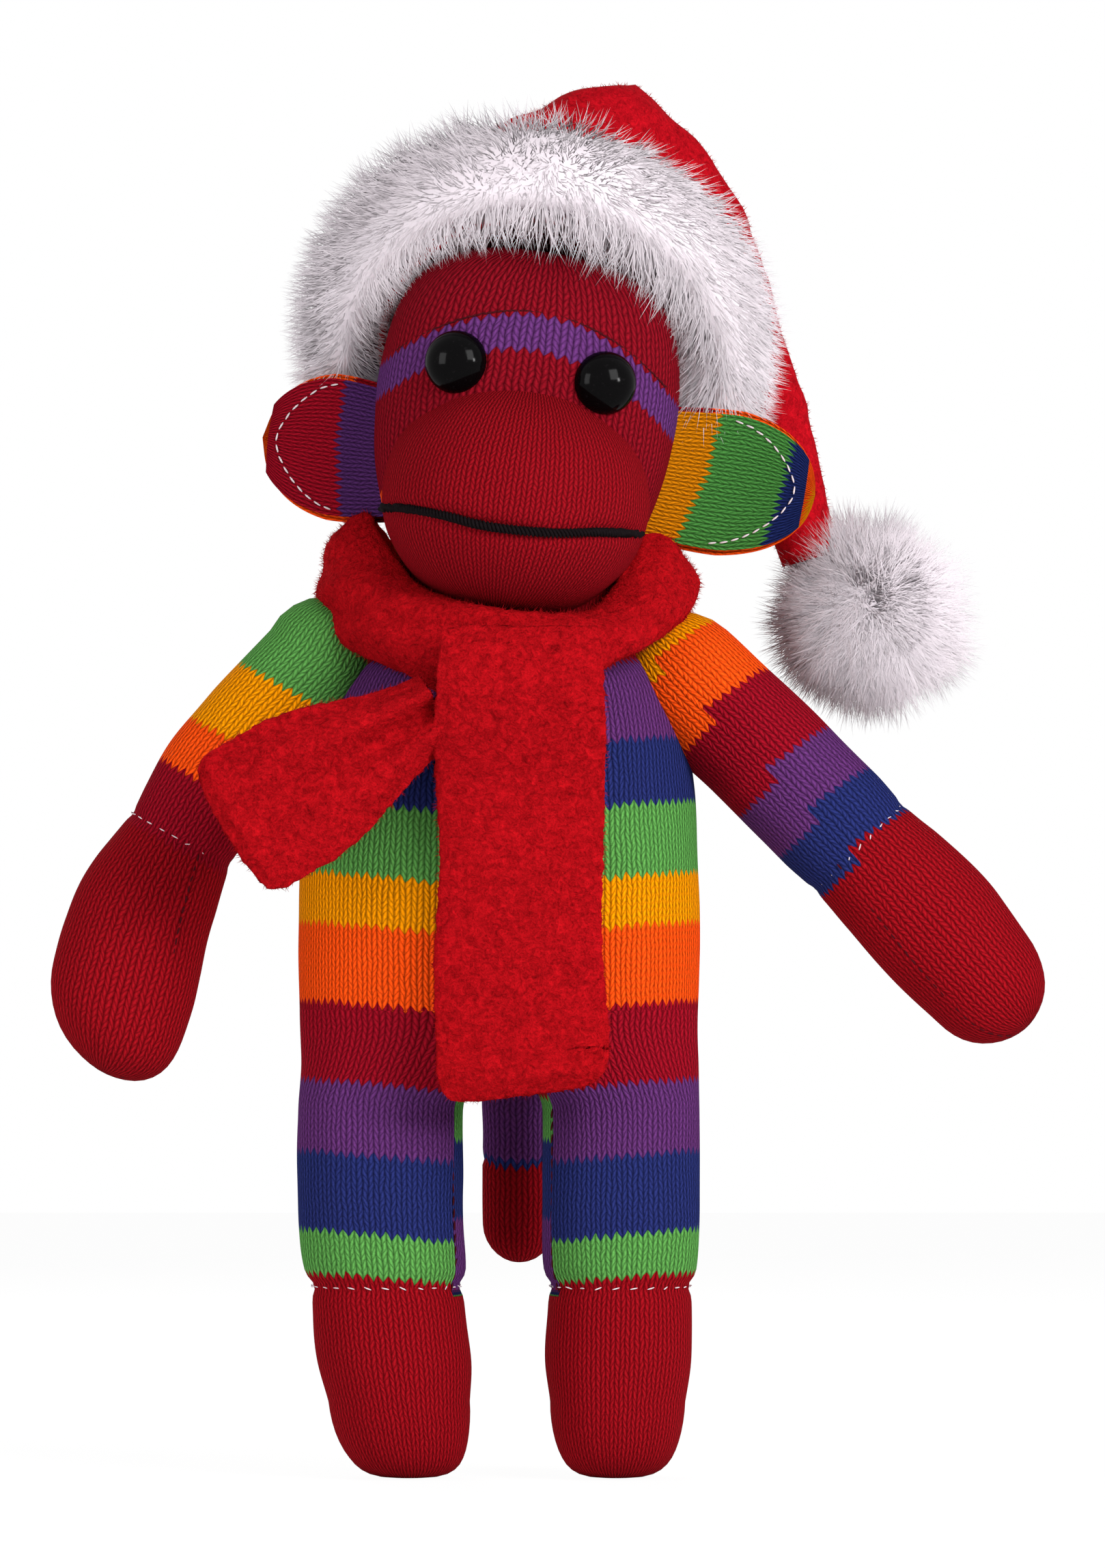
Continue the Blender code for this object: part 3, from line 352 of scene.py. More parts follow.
def strandMaterial(name, root, tip, soft):
    # strands run from one colour at the root to another at the tip; the darker root colour is painted shade deep in the
    # pile
    # soft is how far they are lit as the pile that they lie in
    made, tree, surface = newMaterial(name, 0.9, 0.05)
    along = addNode(tree, "ShaderNodeAttribute", attribute_name="along").outputs["Fac"]
    patches = mathNode(tree, "SUBTRACT", noiseNode(tree, objectPlace(tree), 160, 2).outputs["Fac"], 0.5)
    share = mathNode(tree, "ADD", along, mathNode(tree, "MULTIPLY", patches, 0.7), True)
    tree.links.new(mixColour(tree, share, linear(root), linear(tip)), surface["Base Color"])
    ground = addNode(tree, "ShaderNodeAttribute", attribute_name="groundNormal").outputs["Vector"]
    turned = addNode(tree, "ShaderNodeVectorTransform", {0: ground}, vector_type="NORMAL", convert_from="OBJECT", convert_to="WORLD")
    own = tree.nodes.new("ShaderNodeNewGeometry").outputs["Normal"]
    mix = addNode(tree, "ShaderNodeMix", {0: soft, 4: own, 5: turned.outputs[0]}, data_type="VECTOR")
    tree.links.new(vectorNode(tree, "NORMALIZE", mix.outputs[1]), surface["Normal"])
    return made


def plainMaterial(name, colour, roughness, grain=900.0, spread=0.15, gloss=0.04):
    made, tree, surface = newMaterial(name, roughness, gloss)
    speck = noiseNode(tree, objectPlace(tree), grain, 3).outputs["Fac"]
    dark = tuple(part * (1 - spread) for part in linear(colour)[:3]) + (1,)
    light = tuple(min(part * (1 + spread), 1) for part in linear(colour)[:3]) + (1,)
    tree.links.new(mixColour(tree, speck, dark, light), surface["Base Color"])
    addBump(tree, surface, speck, 0.0001, 0.5)
    return made


# Strands and stitches, by geometry nodes

def applyTree(name, mesh, tree, material, values):
    # the tree's inputs are set by identifier, and its result becomes a plain mesh
    piece = linkPiece(name, mesh)
    grown = piece.modifiers.new("grow", "NODES")
    grown.node_group = tree
    values = dict(values, Material=material)
    for socket in tree.interface.items_tree:
        if socket.in_out == "INPUT" and socket.name in values:
            grown[socket.identifier] = values[socket.name]
    return dress(meshOf(piece), material)


def endTree(tree, place, given, result):
    real = addNode(tree, "GeometryNodeRealizeInstances", {0: place.outputs[0]})
    paint = addNode(tree, "GeometryNodeSetMaterial", {"Geometry": real.outputs[0], "Material": given["Material"]})
    tree.links.new(paint.outputs[0], result[0])
    return tree


def randomVector(tree, seed):
    ends = {0: (-1, -1, -1), 1: (1, 1, 1), "Seed": seed}
    return addNode(tree, "FunctionNodeRandomValue", ends, data_type="FLOAT_VECTOR").outputs[0]


def randomNumber(tree, low, high, seed, later):
    ends = {2: low, 3: high, "Seed": mathNode(tree, "ADD", seed, later)}
    return addNode(tree, "FunctionNodeRandomValue", ends, data_type="FLOAT").outputs[1]


def makeStrandTree():
    sizes = ("Density", "Length", "Shortest", "Thickness", "Curl", "Clump Size", "Clump Lean", "Stray Lean")
    tree, given, result = newTree("growStrands", "GeometryNodeTree", {
        "Geometry": "Geometry", **{size: "Float" for size in sizes}, "Sections": "Int", "Seed": "Int", "Material": "Material"},
        {"Geometry": "Geometry"})

    def keep(shape, label, kind, value):
        return addNode(tree, "GeometryNodeStoreNamedAttribute", {"Geometry": shape, "Name": label, "Value": value},
                       data_type=kind, domain="POINT").outputs[0]

    def painted(label, kind):
        return addNode(tree, "GeometryNodeInputNamedAttribute", {"Name": label}, data_type=kind).outputs[0]

    spread = addNode(tree, "GeometryNodeDistributePointsOnFaces",
                     {"Mesh": given["Geometry"], "Density": given["Density"], "Seed": given["Seed"]})
    # one strand: a thin cone, bent a little, that knows how far along it each point is
    cone = addNode(tree, "GeometryNodeMeshCone", {
        "Vertices": 3, "Radius Top": 0, "Depth": 1, "Side Segments": given["Sections"],
        "Radius Bottom": mathNode(tree, "DIVIDE", given["Thickness"], given["Length"])}, fill_type="NONE")
    where = tree.nodes.new("GeometryNodeInputPosition").outputs[0]
    upwards = addNode(tree, "ShaderNodeSeparateXYZ", {0: where}).outputs[2]
    bend = mathNode(tree, "MULTIPLY", mathNode(tree, "POWER", upwards, 2), given["Curl"])
    strand = addNode(tree, "GeometryNodeSetPosition", {
        "Geometry": keep(cone.outputs["Mesh"], "along", "FLOAT", upwards),
        "Offset": addNode(tree, "ShaderNodeCombineXYZ", {0: bend}).outputs[0]}).outputs[0]
    # which way each strand leans: its clump's way, its own way, and the way the pile is combed
    clump = noiseNode(tree, where, mathNode(tree, "DIVIDE", 1, given["Clump Size"]), 1).outputs["Color"]
    together = vectorNode(tree, "SCALE", vectorNode(tree, "SUBTRACT", clump, (0.5, 0.5, 0.5)), None, given["Clump Lean"])
    alone = vectorNode(tree, "SCALE", randomVector(tree, given["Seed"]), None, given["Stray Lean"])
    normal = spread.outputs["Normal"]
    lean = vectorNode(tree, "ADD", vectorNode(tree, "ADD", normal, painted("combing", "FLOAT_VECTOR")),
                      vectorNode(tree, "ADD", together, alone))
    turn = addNode(tree, "FunctionNodeAlignRotationToVector", {"Vector": lean}, axis="Z")
    about = addNode(tree, "FunctionNodeAxisAngleToRotation",
                    {"Axis": (0, 0, 1), "Angle": randomNumber(tree, 0, 2 * pi, given["Seed"], 5)})
    turned = addNode(tree, "FunctionNodeRotateRotation", {0: turn.outputs[0], 1: about.outputs[0]}, rotation_space="LOCAL")
    # facing turns the pile's light and shade towards where its ends lie; longer is a share of its length
    lit = vectorNode(tree, "NORMALIZE", vectorNode(tree, "ADD", normal, painted("facing", "FLOAT_VECTOR")))
    length = mathNode(tree, "MULTIPLY", mathNode(tree, "ADD", painted("longer", "FLOAT"), 1), given["Length"])
    size = randomNumber(tree, given["Shortest"], 1, given["Seed"], 9)
    place = addNode(tree, "GeometryNodeInstanceOnPoints", {
        "Points": keep(spread.outputs["Points"], "groundNormal", "FLOAT_VECTOR", lit), "Instance": strand,
        "Rotation": turned.outputs[0], "Scale": mathNode(tree, "MULTIPLY", size, length)})
    return endTree(tree, place, given, result)


def makeStitchTree():
    sizes = ("Pitch", "Stitch Length", "Radius", "Wander")
    tree, given, result = newTree("runStitches", "GeometryNodeTree", {
        "Geometry": "Geometry", **{size: "Float" for size in sizes}, "Seed": "Int", "Material": "Material"},
        {"Geometry": "Geometry"})
    line = addNode(tree, "GeometryNodeMeshToCurve", {0: given["Geometry"]})
    even = addNode(tree, "GeometryNodeResampleCurve", {"Curve": line.outputs[0], "Length": given["Pitch"]}, mode="LENGTH")
    stitch = addNode(tree, "GeometryNodeMeshUVSphere", {"Segments": 6, "Rings": 5, "Radius": 1})
    drift = vectorNode(tree, "SCALE", randomVector(tree, given["Seed"]), None, given["Wander"])
    aim = vectorNode(tree, "ADD", tree.nodes.new("GeometryNodeInputTangent").outputs[0], drift)
    turn = addNode(tree, "FunctionNodeAlignRotationToVector", {"Vector": aim}, axis="Z")
    half = mathNode(tree, "MULTIPLY", given["Stitch Length"], 0.5)
    size = addNode(tree, "ShaderNodeCombineXYZ", {0: given["Radius"], 1: given["Radius"], 2: half})
    place = addNode(tree, "GeometryNodeInstanceOnPoints", {
        "Points": even.outputs[0], "Instance": stitch.outputs["Mesh"], "Rotation": turn.outputs[0], "Scale": size.outputs[0]})
    return endTree(tree, place, given, result)


strandTree = makeStrandTree()
stitchTree = makeStitchTree()


def growOn(name, ground, material, values):
    # strands grown on a copy of a mesh, as a piece of their own
    return applyTree(name, ground.data.copy(), strandTree, material, values)


def sewSeam(name, line, thread, body, values):
    # a row of stitches along a line, as a piece that rides on a body
    mesh = bpy.data.meshes.new(name)
    mesh.from_pydata([tuple(point + midline) for point in line], [(index, index + 1) for index in range(len(line) - 1)], [])
    seam = applyTree(name, mesh, stitchTree, thread, values)
    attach(seam, body)


print("helpers ready")

# Materials

coursePitch = 0.0014
walePitch = 0.0022


def courses(millimetres):
    return millimetres / 1000 / coursePitch


bodyStripes = [(0, "red"), (courses(37.7), "green"), (courses(46.2), "blue"), (courses(61.6), "purple"), (courses(75.4), "darkRed"),
               (courses(90.0), "orange"), (courses(105.4), "yellow"), (courses(116.2), "green"), (courses(130.4), "blue"),
               (courses(143.5), "purple"), (courses(158), "darkRed")]
knitBody = knitMaterial("knitBody", bodyStripes)
knitRed = knitMaterial("knitRed", [(0, "red")])
# the face's red is darker than the body's red: painted shade from the fur band above
knitHead = knitMaterial("knitHead", [(-150, "green"), (courses(-22), "yellow"), (courses(-15), "orange"), (courses(-5.5), "shadedFaceRed"),
                                     (courses(17.2), "purple"), (courses(22.8), "shadedFaceRed")], slant=-2.0)
knitMuzzle = knitMaterial("knitMuzzle", [(0, "muzzleRed")], slant=-2.0)
knitRightArm = knitMaterial("knitRightArm", [(-150, "green"), (courses(7.5), "yellow"), (courses(20), "orange"),
                                             (courses(31), "darkRed"), (courses(44.4), "red")])
knitLeftArm = knitMaterial("knitLeftArm", [(-150, "yellow"), (courses(-3.4), "orange"), (courses(10.8), "darkRed"),
                                           (courses(26.6), "purple"), (courses(39), "blue"), (courses(48.8), "red")])
knitTail = knitMaterial("knitTail", [(-150, "darkRed"), (courses(14), "green"), (courses(22), "purple"), (courses(40.5), "blue"),
                                     (courses(43.6), "red")])
# the ear fronts are knit in darker copies of the yarns: painted shade of the cupped ears
knitLeftEar = knitMaterial("knitLeftEar", [(-150, "shadedEarYellow"), (courses(7.2), "shadedEarGreen"), (courses(21.7), "shadedEarBlue")])
knitRightEar = knitMaterial("knitRightEar", [(-150, "shadedEarPurple"), (courses(7.5), "darkRed")])
knitEarBack = knitMaterial("knitEarBack", [(-150, "red"), (courses(6), "orange"), (courses(27), "yellow")])
scarfPile = pileMaterial("scarfPile", (165, 12, 20), 520.0, 0.0010)
hatPile = pileMaterial("hatPile", (168, 12, 24), 700.0, 0.0004)
# each strand colour is darker at the root than at the tip: painted shade inside the pile
scarfStrand = strandMaterial("scarfStrand", (138, 6, 13), (186, 18, 27), 0.5)
hatStrand = strandMaterial("hatStrand", (160, 6, 18), (204, 16, 28), 0.6)
furGround = plainMaterial("furGround", (226, 217, 223), 0.9, 300.0, 0.03)
furStrand = strandMaterial("furStrand", (222, 212, 218), (232, 223, 229), 0.9)
blackYarn = plainMaterial("blackYarn", (20, 15, 17), 0.9, 2600.0, 0.6)
whiteThread = plainMaterial("whiteThread", (214, 200, 204), 0.7, 2600.0, 0.1)
darkThread = plainMaterial("darkThread", (66, 14, 20), 0.8, 2600.0, 0.2)
fibreFill = plainMaterial("fibreFill", (236, 234, 228), 0.95, 500.0, 0.08)
washerPlastic = plainMaterial("washerPlastic", (232, 230, 224), 0.5, 200.0, 0.03, 0.5)


def makeEyePlastic():
    made, tree, surface = newMaterial("eyePlastic", 0.5, 0.12)
    surface["IOR"].default_value = 1.3
    dust = noiseNode(tree, objectPlace(tree), 1400, 5).outputs["Fac"]
    ramp = addNode(tree, "ShaderNodeValToRGB", {0: dust})
    marks = ((0.62, (0.0014, 0.0012, 0.0014, 1)), (0.80, (0.007, 0.006, 0.007, 1)))
    for mark, (place, colour) in zip(ramp.color_ramp.elements, marks):
        mark.position, mark.color = place, colour
    tree.links.new(ramp.outputs[0], surface["Base Color"])
    tree.links.new(scaled(tree, dust, 0.10, 0.07), surface["Roughness"])
    return made


eyePlastic = makeEyePlastic()
print("materials ready")

# Torso and legs

bodyForm = {"halfWidth": 0.0392, "halfDepth": 0.0250, "low": 0.0651, "neck": 0.1675, "join": 0.0920, "sides": 128, "rings": 60,
            "lump": 0.0005, "lumpSize": 0.016}
torsoTable = ((0.0, 0.965, 0.78), (0.12, 0.985, 0.84), (0.32, 1.0, 0.95), (0.52, 0.995, 1.0), (0.70, 0.965, 0.98),
              (0.84, 0.90, 0.89), (0.915, 0.80, 0.80), (0.965, 0.60, 0.68), (1.0, 0.345, 0.51))


def torsoAxes(height):
    share = (height - bodyForm["low"]) / (bodyForm["neck"] - bodyForm["low"])
    width, depth = tableAt(torsoTable, share)
    return bodyForm["halfWidth"] * width, bodyForm["halfDepth"] * depth, neckPivot.x * max(share, 0) ** 4


def bodyCourse(point):
    droop = 0.0012 * cos(pi * min(abs(point.x) / 0.039, 1))
    return (point.z + droop) / coursePitch


def bodyLumps(point):
    return bodyForm["lump"] * noise.noise(point / bodyForm["lumpSize"])


def makeTorso():
    rings = []
    for index in range(bodyForm["rings"]):
        share = index / (bodyForm["rings"] - 1)
        height = bodyForm["join"] + (bodyForm["neck"] - bodyForm["join"]) * (1 - (1 - share) ** 1.25)
        width, depth, shift = torsoAxes(height)
        ring = levelRing(Vector((shift, 0, height)), width, depth, bodyForm["sides"])
        fade = min(share * 8, 1)
        rings.append([point + Vector((point.x, point.y, 0)).normalized() * bodyLumps(point) * fade for point in ring])
    around = round(0.206 / walePitch)
    torso = ringSkin("torsoKnit", rings, knitBody, around, lambda row, point: bodyCourse(point), capStart=False)
    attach(torso, "torso")
    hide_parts("torso_skin", "torso_stuffing")


makeTorso()

# Each leg's inset, shift and slimness are by its side: -1 is the right leg and 1 the left one
legForm = {"hip": 0.0570, "spread": 0.0232, "inset": {-1: (0.0056, 0.0), 1: (0.0010, 0.0008)}, "slim": {-1: 1.0, 1: 0.95},
           "halfWidth": 0.0162, "halfDepth": 0.0170, "toeCap": 0.0150, "splitLow": 0.0720, "splitHigh": 0.0900, "sides": 96,
           "ankle": 0.0377, "panelFrom": 0.30, "panelTo": 0.585, "panelTurn": 115, "bendFrom": 0.088, "bendTo": 0.050}
legTable = ((0.0, 1.0, 1.0), (0.20, 1.0, 1.0), (0.38, 0.975, 0.98), (0.455, 0.905, 0.94), (0.55, 0.92, 0.95), (0.80, 0.93, 0.98),
            (1.0, 0.86, 0.96))


def legMiddle(height, side):
    fall = max(1 - height / legForm["hip"], 0)
    inset, shift = legForm["inset"][side]
    return (legForm["spread"] + shift - inset * fall ** 1.5) * side


def legRing(height, side, spread=1.0):
    # low down it is a round leg, above the crotch it opens into half of the torso's outline
    sides = legForm["sides"]
    drop = legForm["hip"] - legForm["toeCap"]
    width, depth = tableAt(legTable, (legForm["hip"] - max(height, legForm["toeCap"])) / drop)
    width, depth = legForm["halfWidth"] * width * spread * legForm["slim"][side], legForm["halfDepth"] * depth * spread
    middle = legMiddle(height, side)
    legOnly = levelRing(Vector((middle, 0, height)), width * side, depth, sides, 0.15)
    share = smoothStep((height - legForm["splitLow"]) / (legForm["splitHigh"] - legForm["splitLow"]))
    if share <= 0:
        return legOnly
    halfWidth, halfDepth, shift = torsoAxes(height)
    ring = []
    centre = 0.018
    for index in range(sides):
        turn = 2 * pi * index / sides
        across, front = cos(turn), sin(turn)
        # distance from the ring's middle to the torso's outline, or to the midline
        first = (across / halfWidth) ** 2 + (front / halfDepth) ** 2
        second = 2 * centre * across / halfWidth ** 2
        third = (centre / halfWidth) ** 2 - 1
        reach = (-second + sqrt(second * second - 4 * first * third)) / (2 * first)
        if across < -0.05:
            reach = min(reach, centre / -across)
        point = Vector(((centre + across * reach) * side, front * reach, height))
        ring.append(legOnly[index].lerp(point, share))
    return ring


def makeLeg(name, side):
    rings, heights = [], []
    for turn in (86, 80, 72, 64, 56, 48, 40, 32, 24, 16, 8):
        spread = cos(radians(turn)) ** 0.5
        heights.append((legForm["toeCap"] * (1 - sin(radians(turn))) + 0.0001, spread))
    height = legForm["toeCap"]
    while height < bodyForm["join"] - 0.0001:
        heights.append((height, 1.0))
        height += 0.0013
    heights.append((bodyForm["join"], 1.0))
    for height, spread in heights:
        ring = legRing(height, side, spread)
        fade = min(max((bodyForm["join"] - height) / 0.01, 0), 1) * min(height / 0.004, 1)
        middle = Vector((legMiddle(height, side), 0, height))
        # the sewn ankle pulls in a little
        pull = 0.0006 * max(0, 1 - abs(height - legForm["ankle"]) / 0.002)
        aside = Vector((side, 0, 0))
        rings.append([point + (point - middle).normalized() * (bodyLumps(point * 1.1 + aside) * fade - pull) for point in ring])
    around = round(0.104 / walePitch)

    def panelOf(turn, course):
        # the inner leg's panel is cut the other way up
        inside = legForm["panelFrom"] < turn < legForm["panelTo"] and course > courses(legForm["ankle"] * 1000)
        return courses(legForm["panelTurn"]) - course if inside else course

    piece = ringSkin(name + "LegKnit", rings, knitBody, around, lambda row, point: bodyCourse(point), capEnd=False, panelOf=panelOf)
    body = name + "_leg"
    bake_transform(piece)
    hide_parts(body + "_skin", name + "_foot_skin", body + "_stuffing")
    # the seam of the inner leg's panel
    line, height = [], legForm["ankle"]
    while height < legForm["splitLow"]:
        ring = legRing(height, side)
        line.append(ring[round(legForm["panelTo"] * len(ring))] + Vector((0, 0.0001, 0)))
        height += 0.002
    sewSeam(name + "LegStitches", line, darkThread, body,
            {"Pitch": 0.0024, "Stitch Length": 0.0020, "Radius": 0.00018, "Wander": 0.15, "Seed": 7})
    # the ankle's seam
    ring = legRing(legForm["ankle"], side)
    middle = Vector((legMiddle(legForm["ankle"], side), 0, legForm["ankle"]))
    loop = [point + (point - middle).normalized() * -0.0001 for point in ring]
    sewSeam(name + "AnkleStitches", loop + loop[:1], whiteThread, body,
            {"Pitch": 0.0034, "Stitch Length": 0.0016, "Radius": 0.00014, "Wander": 0.5, "Seed": 3})


for name, side in (("left", 1), ("right", -1)):
    makeLeg(name, side)
print("torso and legs ready")

# Arms

armForms = {
    "right": {"shoulder": Vector((-0.0340, 0, 0.1605)), "length": 0.0920, "hang": radians(28.5), "bow": 0.0085, "side": -1,
              "table": ((-0.14, 0.0121), (0.0, 0.0124), (0.25, 0.0120), (0.42, 0.0112), (0.485, 0.0110), (0.60, 0.0132),
                        (0.76, 0.0148), (0.86, 0.0146)),
              "material": knitRightArm, "wrist": 0.483, "seam": 0.72, "panelShift": 0},
    "left": {"shoulder": Vector((0.0358, 0, 0.1577)), "length": 0.0970, "hang": radians(44.5), "bow": 0.0012, "side": 1,
             "table": ((-0.14, 0.0121), (0.0, 0.0124), (0.25, 0.0127), (0.42, 0.0123), (0.50, 0.0120), (0.60, 0.0130),
                       (0.74, 0.0134), (0.86, 0.0122)),
             "material": knitLeftArm, "wrist": 0.500, "seam": 0.72, "panelShift": 3.4},
}
armLook = {"sides": 72, "steps": 72, "depth": 0.92, "cap": 0.0150, "wristSink": 0.0004, "handFrom": 0.50, "handTo": 0.985}


def armPoint(form, share, turn, sink=0.0):
    # a point on the arm's skin: share along it, turn about it from the outer side
    length, cap = form["length"], armLook["cap"]
    shaft = length - cap
    place = share * length
    if place > shaft:
        angle = min((place - shaft) / cap, 1)
        width = form["table"][-1][1] * max(1 - angle ** 2.3, 0) ** 0.5
    elif place < 0:
        width = form["table"][1][1] * max(1 - (place / 0.0124) ** 2, 0) ** 0.5
    else:
        width = tableAt(form["table"], share)[0]
    deep = width * armLook["depth"] if share > 0.25 else width
    side = form["side"]
    bow = form["bow"] * sin(pi * max(place, 0) / length)
    local = Vector((bow * side + (width - sink) * cos(turn) * side, (deep - sink) * sin(turn), -place))
    return form["shoulder"] + Matrix.Rotation(-form["hang"] * side, 3, "Y") @ local


def makeArm(name):
    form = armForms[name]
    side = form["side"]
    shares = [-0.0123 / form["length"] * sin(radians(turn)) for turn in (84, 66, 48, 32, 16)]
    steps = armLook["steps"]
    shaft = 1 - armLook["cap"] / form["length"]
    shares += [shaft * index / steps for index in range(steps + 1)]
    shares += [shaft + (1 - shaft) * sin(radians(turn)) for turn in (8, 16, 24, 32, 40, 48, 56, 64, 72, 79, 85)]
    rings = []
    for share in shares:
        ring = [armPoint(form, share, 2 * pi * index / armLook["sides"]) for index in range(armLook["sides"])]
        middle = sum(ring, Vector()) / len(ring)
        pull = armLook["wristSink"] * max(0, 1 - abs(share - form["wrist"]) / 0.02)
        rings.append([point + (point - middle).normalized() * (0.0006 * noise.noise(point / 0.014) - pull) for point in ring])
    around = round(0.080 / walePitch)

    def courseOf(row, point):
        local = Matrix.Rotation(form["hang"] * side, 3, "Y") @ (point - form["shoulder"])
        return -local.z / coursePitch

    def panelOf(turn, course):
        # above the front's seam the stripes are drawn towards the shoulder, so they don't meet there
        return course + courses(form["panelShift"]) * (1 - turn) / (1 - form["seam"]) if turn > form["seam"] else course

    piece = ringSkin(name + "ArmKnit", rings, form["material"], around, courseOf, panelOf=panelOf)
    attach(piece, name + "_arm")
    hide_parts(name + "_arm_skin", name + "_hand_skin", name + "_arm_stuffing", name + "_shoulder_stuffing")
    # the wrist's stitches and the seam along the hand's lower front
    wrist = [armPoint(form, form["wrist"], 2 * pi * index / 48, armLook["wristSink"]) for index in range(49)]
    sewSeam(name + "WristStitches", wrist, whiteThread, name + "_arm",
            {"Pitch": 0.0029, "Stitch Length": 0.0015, "Radius": 0.00014, "Wander": 0.6, "Seed": 4})
    start, end = armLook["handFrom"], armLook["handTo"]
    line = [armPoint(form, start + (end - start) * index / 40, radians(-118 - 18 * index / 40), 0.0001) for index in range(41)]
    sewSeam(name + "HandStitches", line, darkThread, name + "_arm",
            {"Pitch": 0.0021, "Stitch Length": 0.0015, "Radius": 0.00020, "Wander": 0.1, "Seed": 6})


for name in armForms:
    makeArm(name)
print("arms ready")

# Head, muzzle, mouth and eyes

headForm = {"halfWidth": 0.0294, "halfDepth": 0.0270, "halfHeight": 0.0360, "square": 0.35, "sides": 128, "rings": 84,
            "bandCurve": 15.2, "seamHalf": 0.0262, "seamHeight": 0.0231}
headTable = ((-1.0, 0.0), (-0.975, 0.28), (-0.92, 0.46), (-0.80, 0.66), (-0.60, 0.82), (-0.32, 0.935), (0.0, 1.0),
             (0.35, 0.995), (0.62, 0.94), (0.80, 0.81), (0.92, 0.60), (0.98, 0.32), (1.0, 0.0))


def headCourse(point):
    return (point.z + headForm["bandCurve"] * point.x ** 2) / coursePitch


def makeHead():
    rings = []
    for index in range(headForm["rings"]):
        share = -cos(pi * (index + 0.5) / headForm["rings"])
        width = max(tableAt(headTable, share)[0], 0.02)
        ring = levelRing(Vector((0, 0, headForm["halfHeight"] * share)), headForm["halfWidth"] * width,
                         headForm["halfDepth"] * width, headForm["sides"], headForm["square"])
        ring = [point + point.normalized() * 0.0005 * noise.noise(point / 0.014) for point in ring]
        rings.append([headMatrix @ point for point in ring])
    around = round(0.178 / 0.0026)
    inverse = headMatrix.inverted()
    piece = ringSkin("headKnit", rings, knitHead, around, lambda row, point: headCourse(inverse @ point))
    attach(piece, "head")
    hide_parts("head_skin", "head_stuffing")


makeHead()


def headPoint(across, height):
    # a point on the front of the head's skin, in its own frame
    width = tableAt(headTable, height / headForm["halfHeight"])[0]
    power = 2 + headForm["square"]
    side = min(abs(across) / (headForm["halfWidth"] * width), 1)
    return headMatrix @ Vector((across, -headForm["halfDepth"] * width * (1 - side ** power) ** (1 / power), height))


def makeBrowSeam():
    line = []
    for index in range(61):
        across = headForm["seamHalf"] * (2 * index / 60 - 1)
        line.append(headPoint(across, headForm["seamHeight"] - headForm["bandCurve"] * across ** 2) + Vector((0, 0.0001, 0)))
    sewSeam("browSeam", line, darkThread, "head",
            {"Pitch": 0.0010, "Stitch Length": 0.0013, "Radius": 0.00024, "Wander": 0.3, "Seed": 12})


makeBrowSeam()

muzzleForm = {"middle": Vector((0.0004, -0.0120, -0.0131)), "half": Vector((0.0262, 0.0310, 0.0236)), "sides": 112, "rings": 72,
              "mouthSink": 0.0011, "mouthReach": 0.0026}
mouthTable = ((-0.975, -0.23), (-0.72, -0.225), (-0.52, -0.24), (-0.24, -0.28), (0.04, -0.285), (0.31, -0.265), (0.52, -0.23),
              (0.66, -0.20), (0.975, -0.155))


def muzzlePoint(across, height, grow=0.0):
    # a point on the muzzle's front, by shares of its half sizes
    half = muzzleForm["half"]
    span = sqrt(max(1 - across ** 2 - height ** 2, 0))
    reach = Vector((across * (half.x + grow), -span * (half.y + grow), height * (half.z + grow)))
    return headMatrix @ (muzzleForm["middle"] + reach)


def makeMuzzle():
    half = muzzleForm["half"]
    rings = []
    for index in range(muzzleForm["rings"]):
        share = -cos(pi * (index + 0.5) / muzzleForm["rings"])
        width = sqrt(1 - share * share)
        ring = levelRing(Vector((0, 0, half.z * share)), half.x * width, half.y * width, muzzleForm["sides"], 0.12)
        moved = []
        for point in ring:
            lump = 0.0004 * noise.noise(point / 0.011 + Vector((7, 0, 0)))
            across = point.x / half.x
            if point.y < 0 and abs(across) < 0.99:
                line = tableAt(mouthTable, across)[0]
                gap = (point.z / half.z - line) * half.z
                sink = max(0, 1 - (gap / muzzleForm["mouthReach"]) ** 2) ** 2 * smoothStep((1 - abs(across)) * 6)
                lump -= muzzleForm["mouthSink"] * sink
            moved.append(headMatrix @ (muzzleForm["middle"] + point + point.normalized() * lump))
        rings.append(moved)
    around = round(0.178 / 0.0022)
    inverse = headMatrix.inverted()

    def courseOf(row, point):
        local = inverse @ point - muzzleForm["middle"]
        return atan2(local.z / half.z, sqrt((local.x / half.x) ** 2 + (local.y / half.y) ** 2)) * 0.027 / 0.0013

    piece = ringSkin("muzzleKnit", rings, knitMuzzle, around, courseOf)
    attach(piece, "head")
    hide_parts("muzzle_skin", "muzzle_stuffing")


makeMuzzle()

mouthForm = {"plies": 3, "plyRadius": 0.00052, "offset": 0.00050, "turnsPerMetre": 420, "steps": 150}


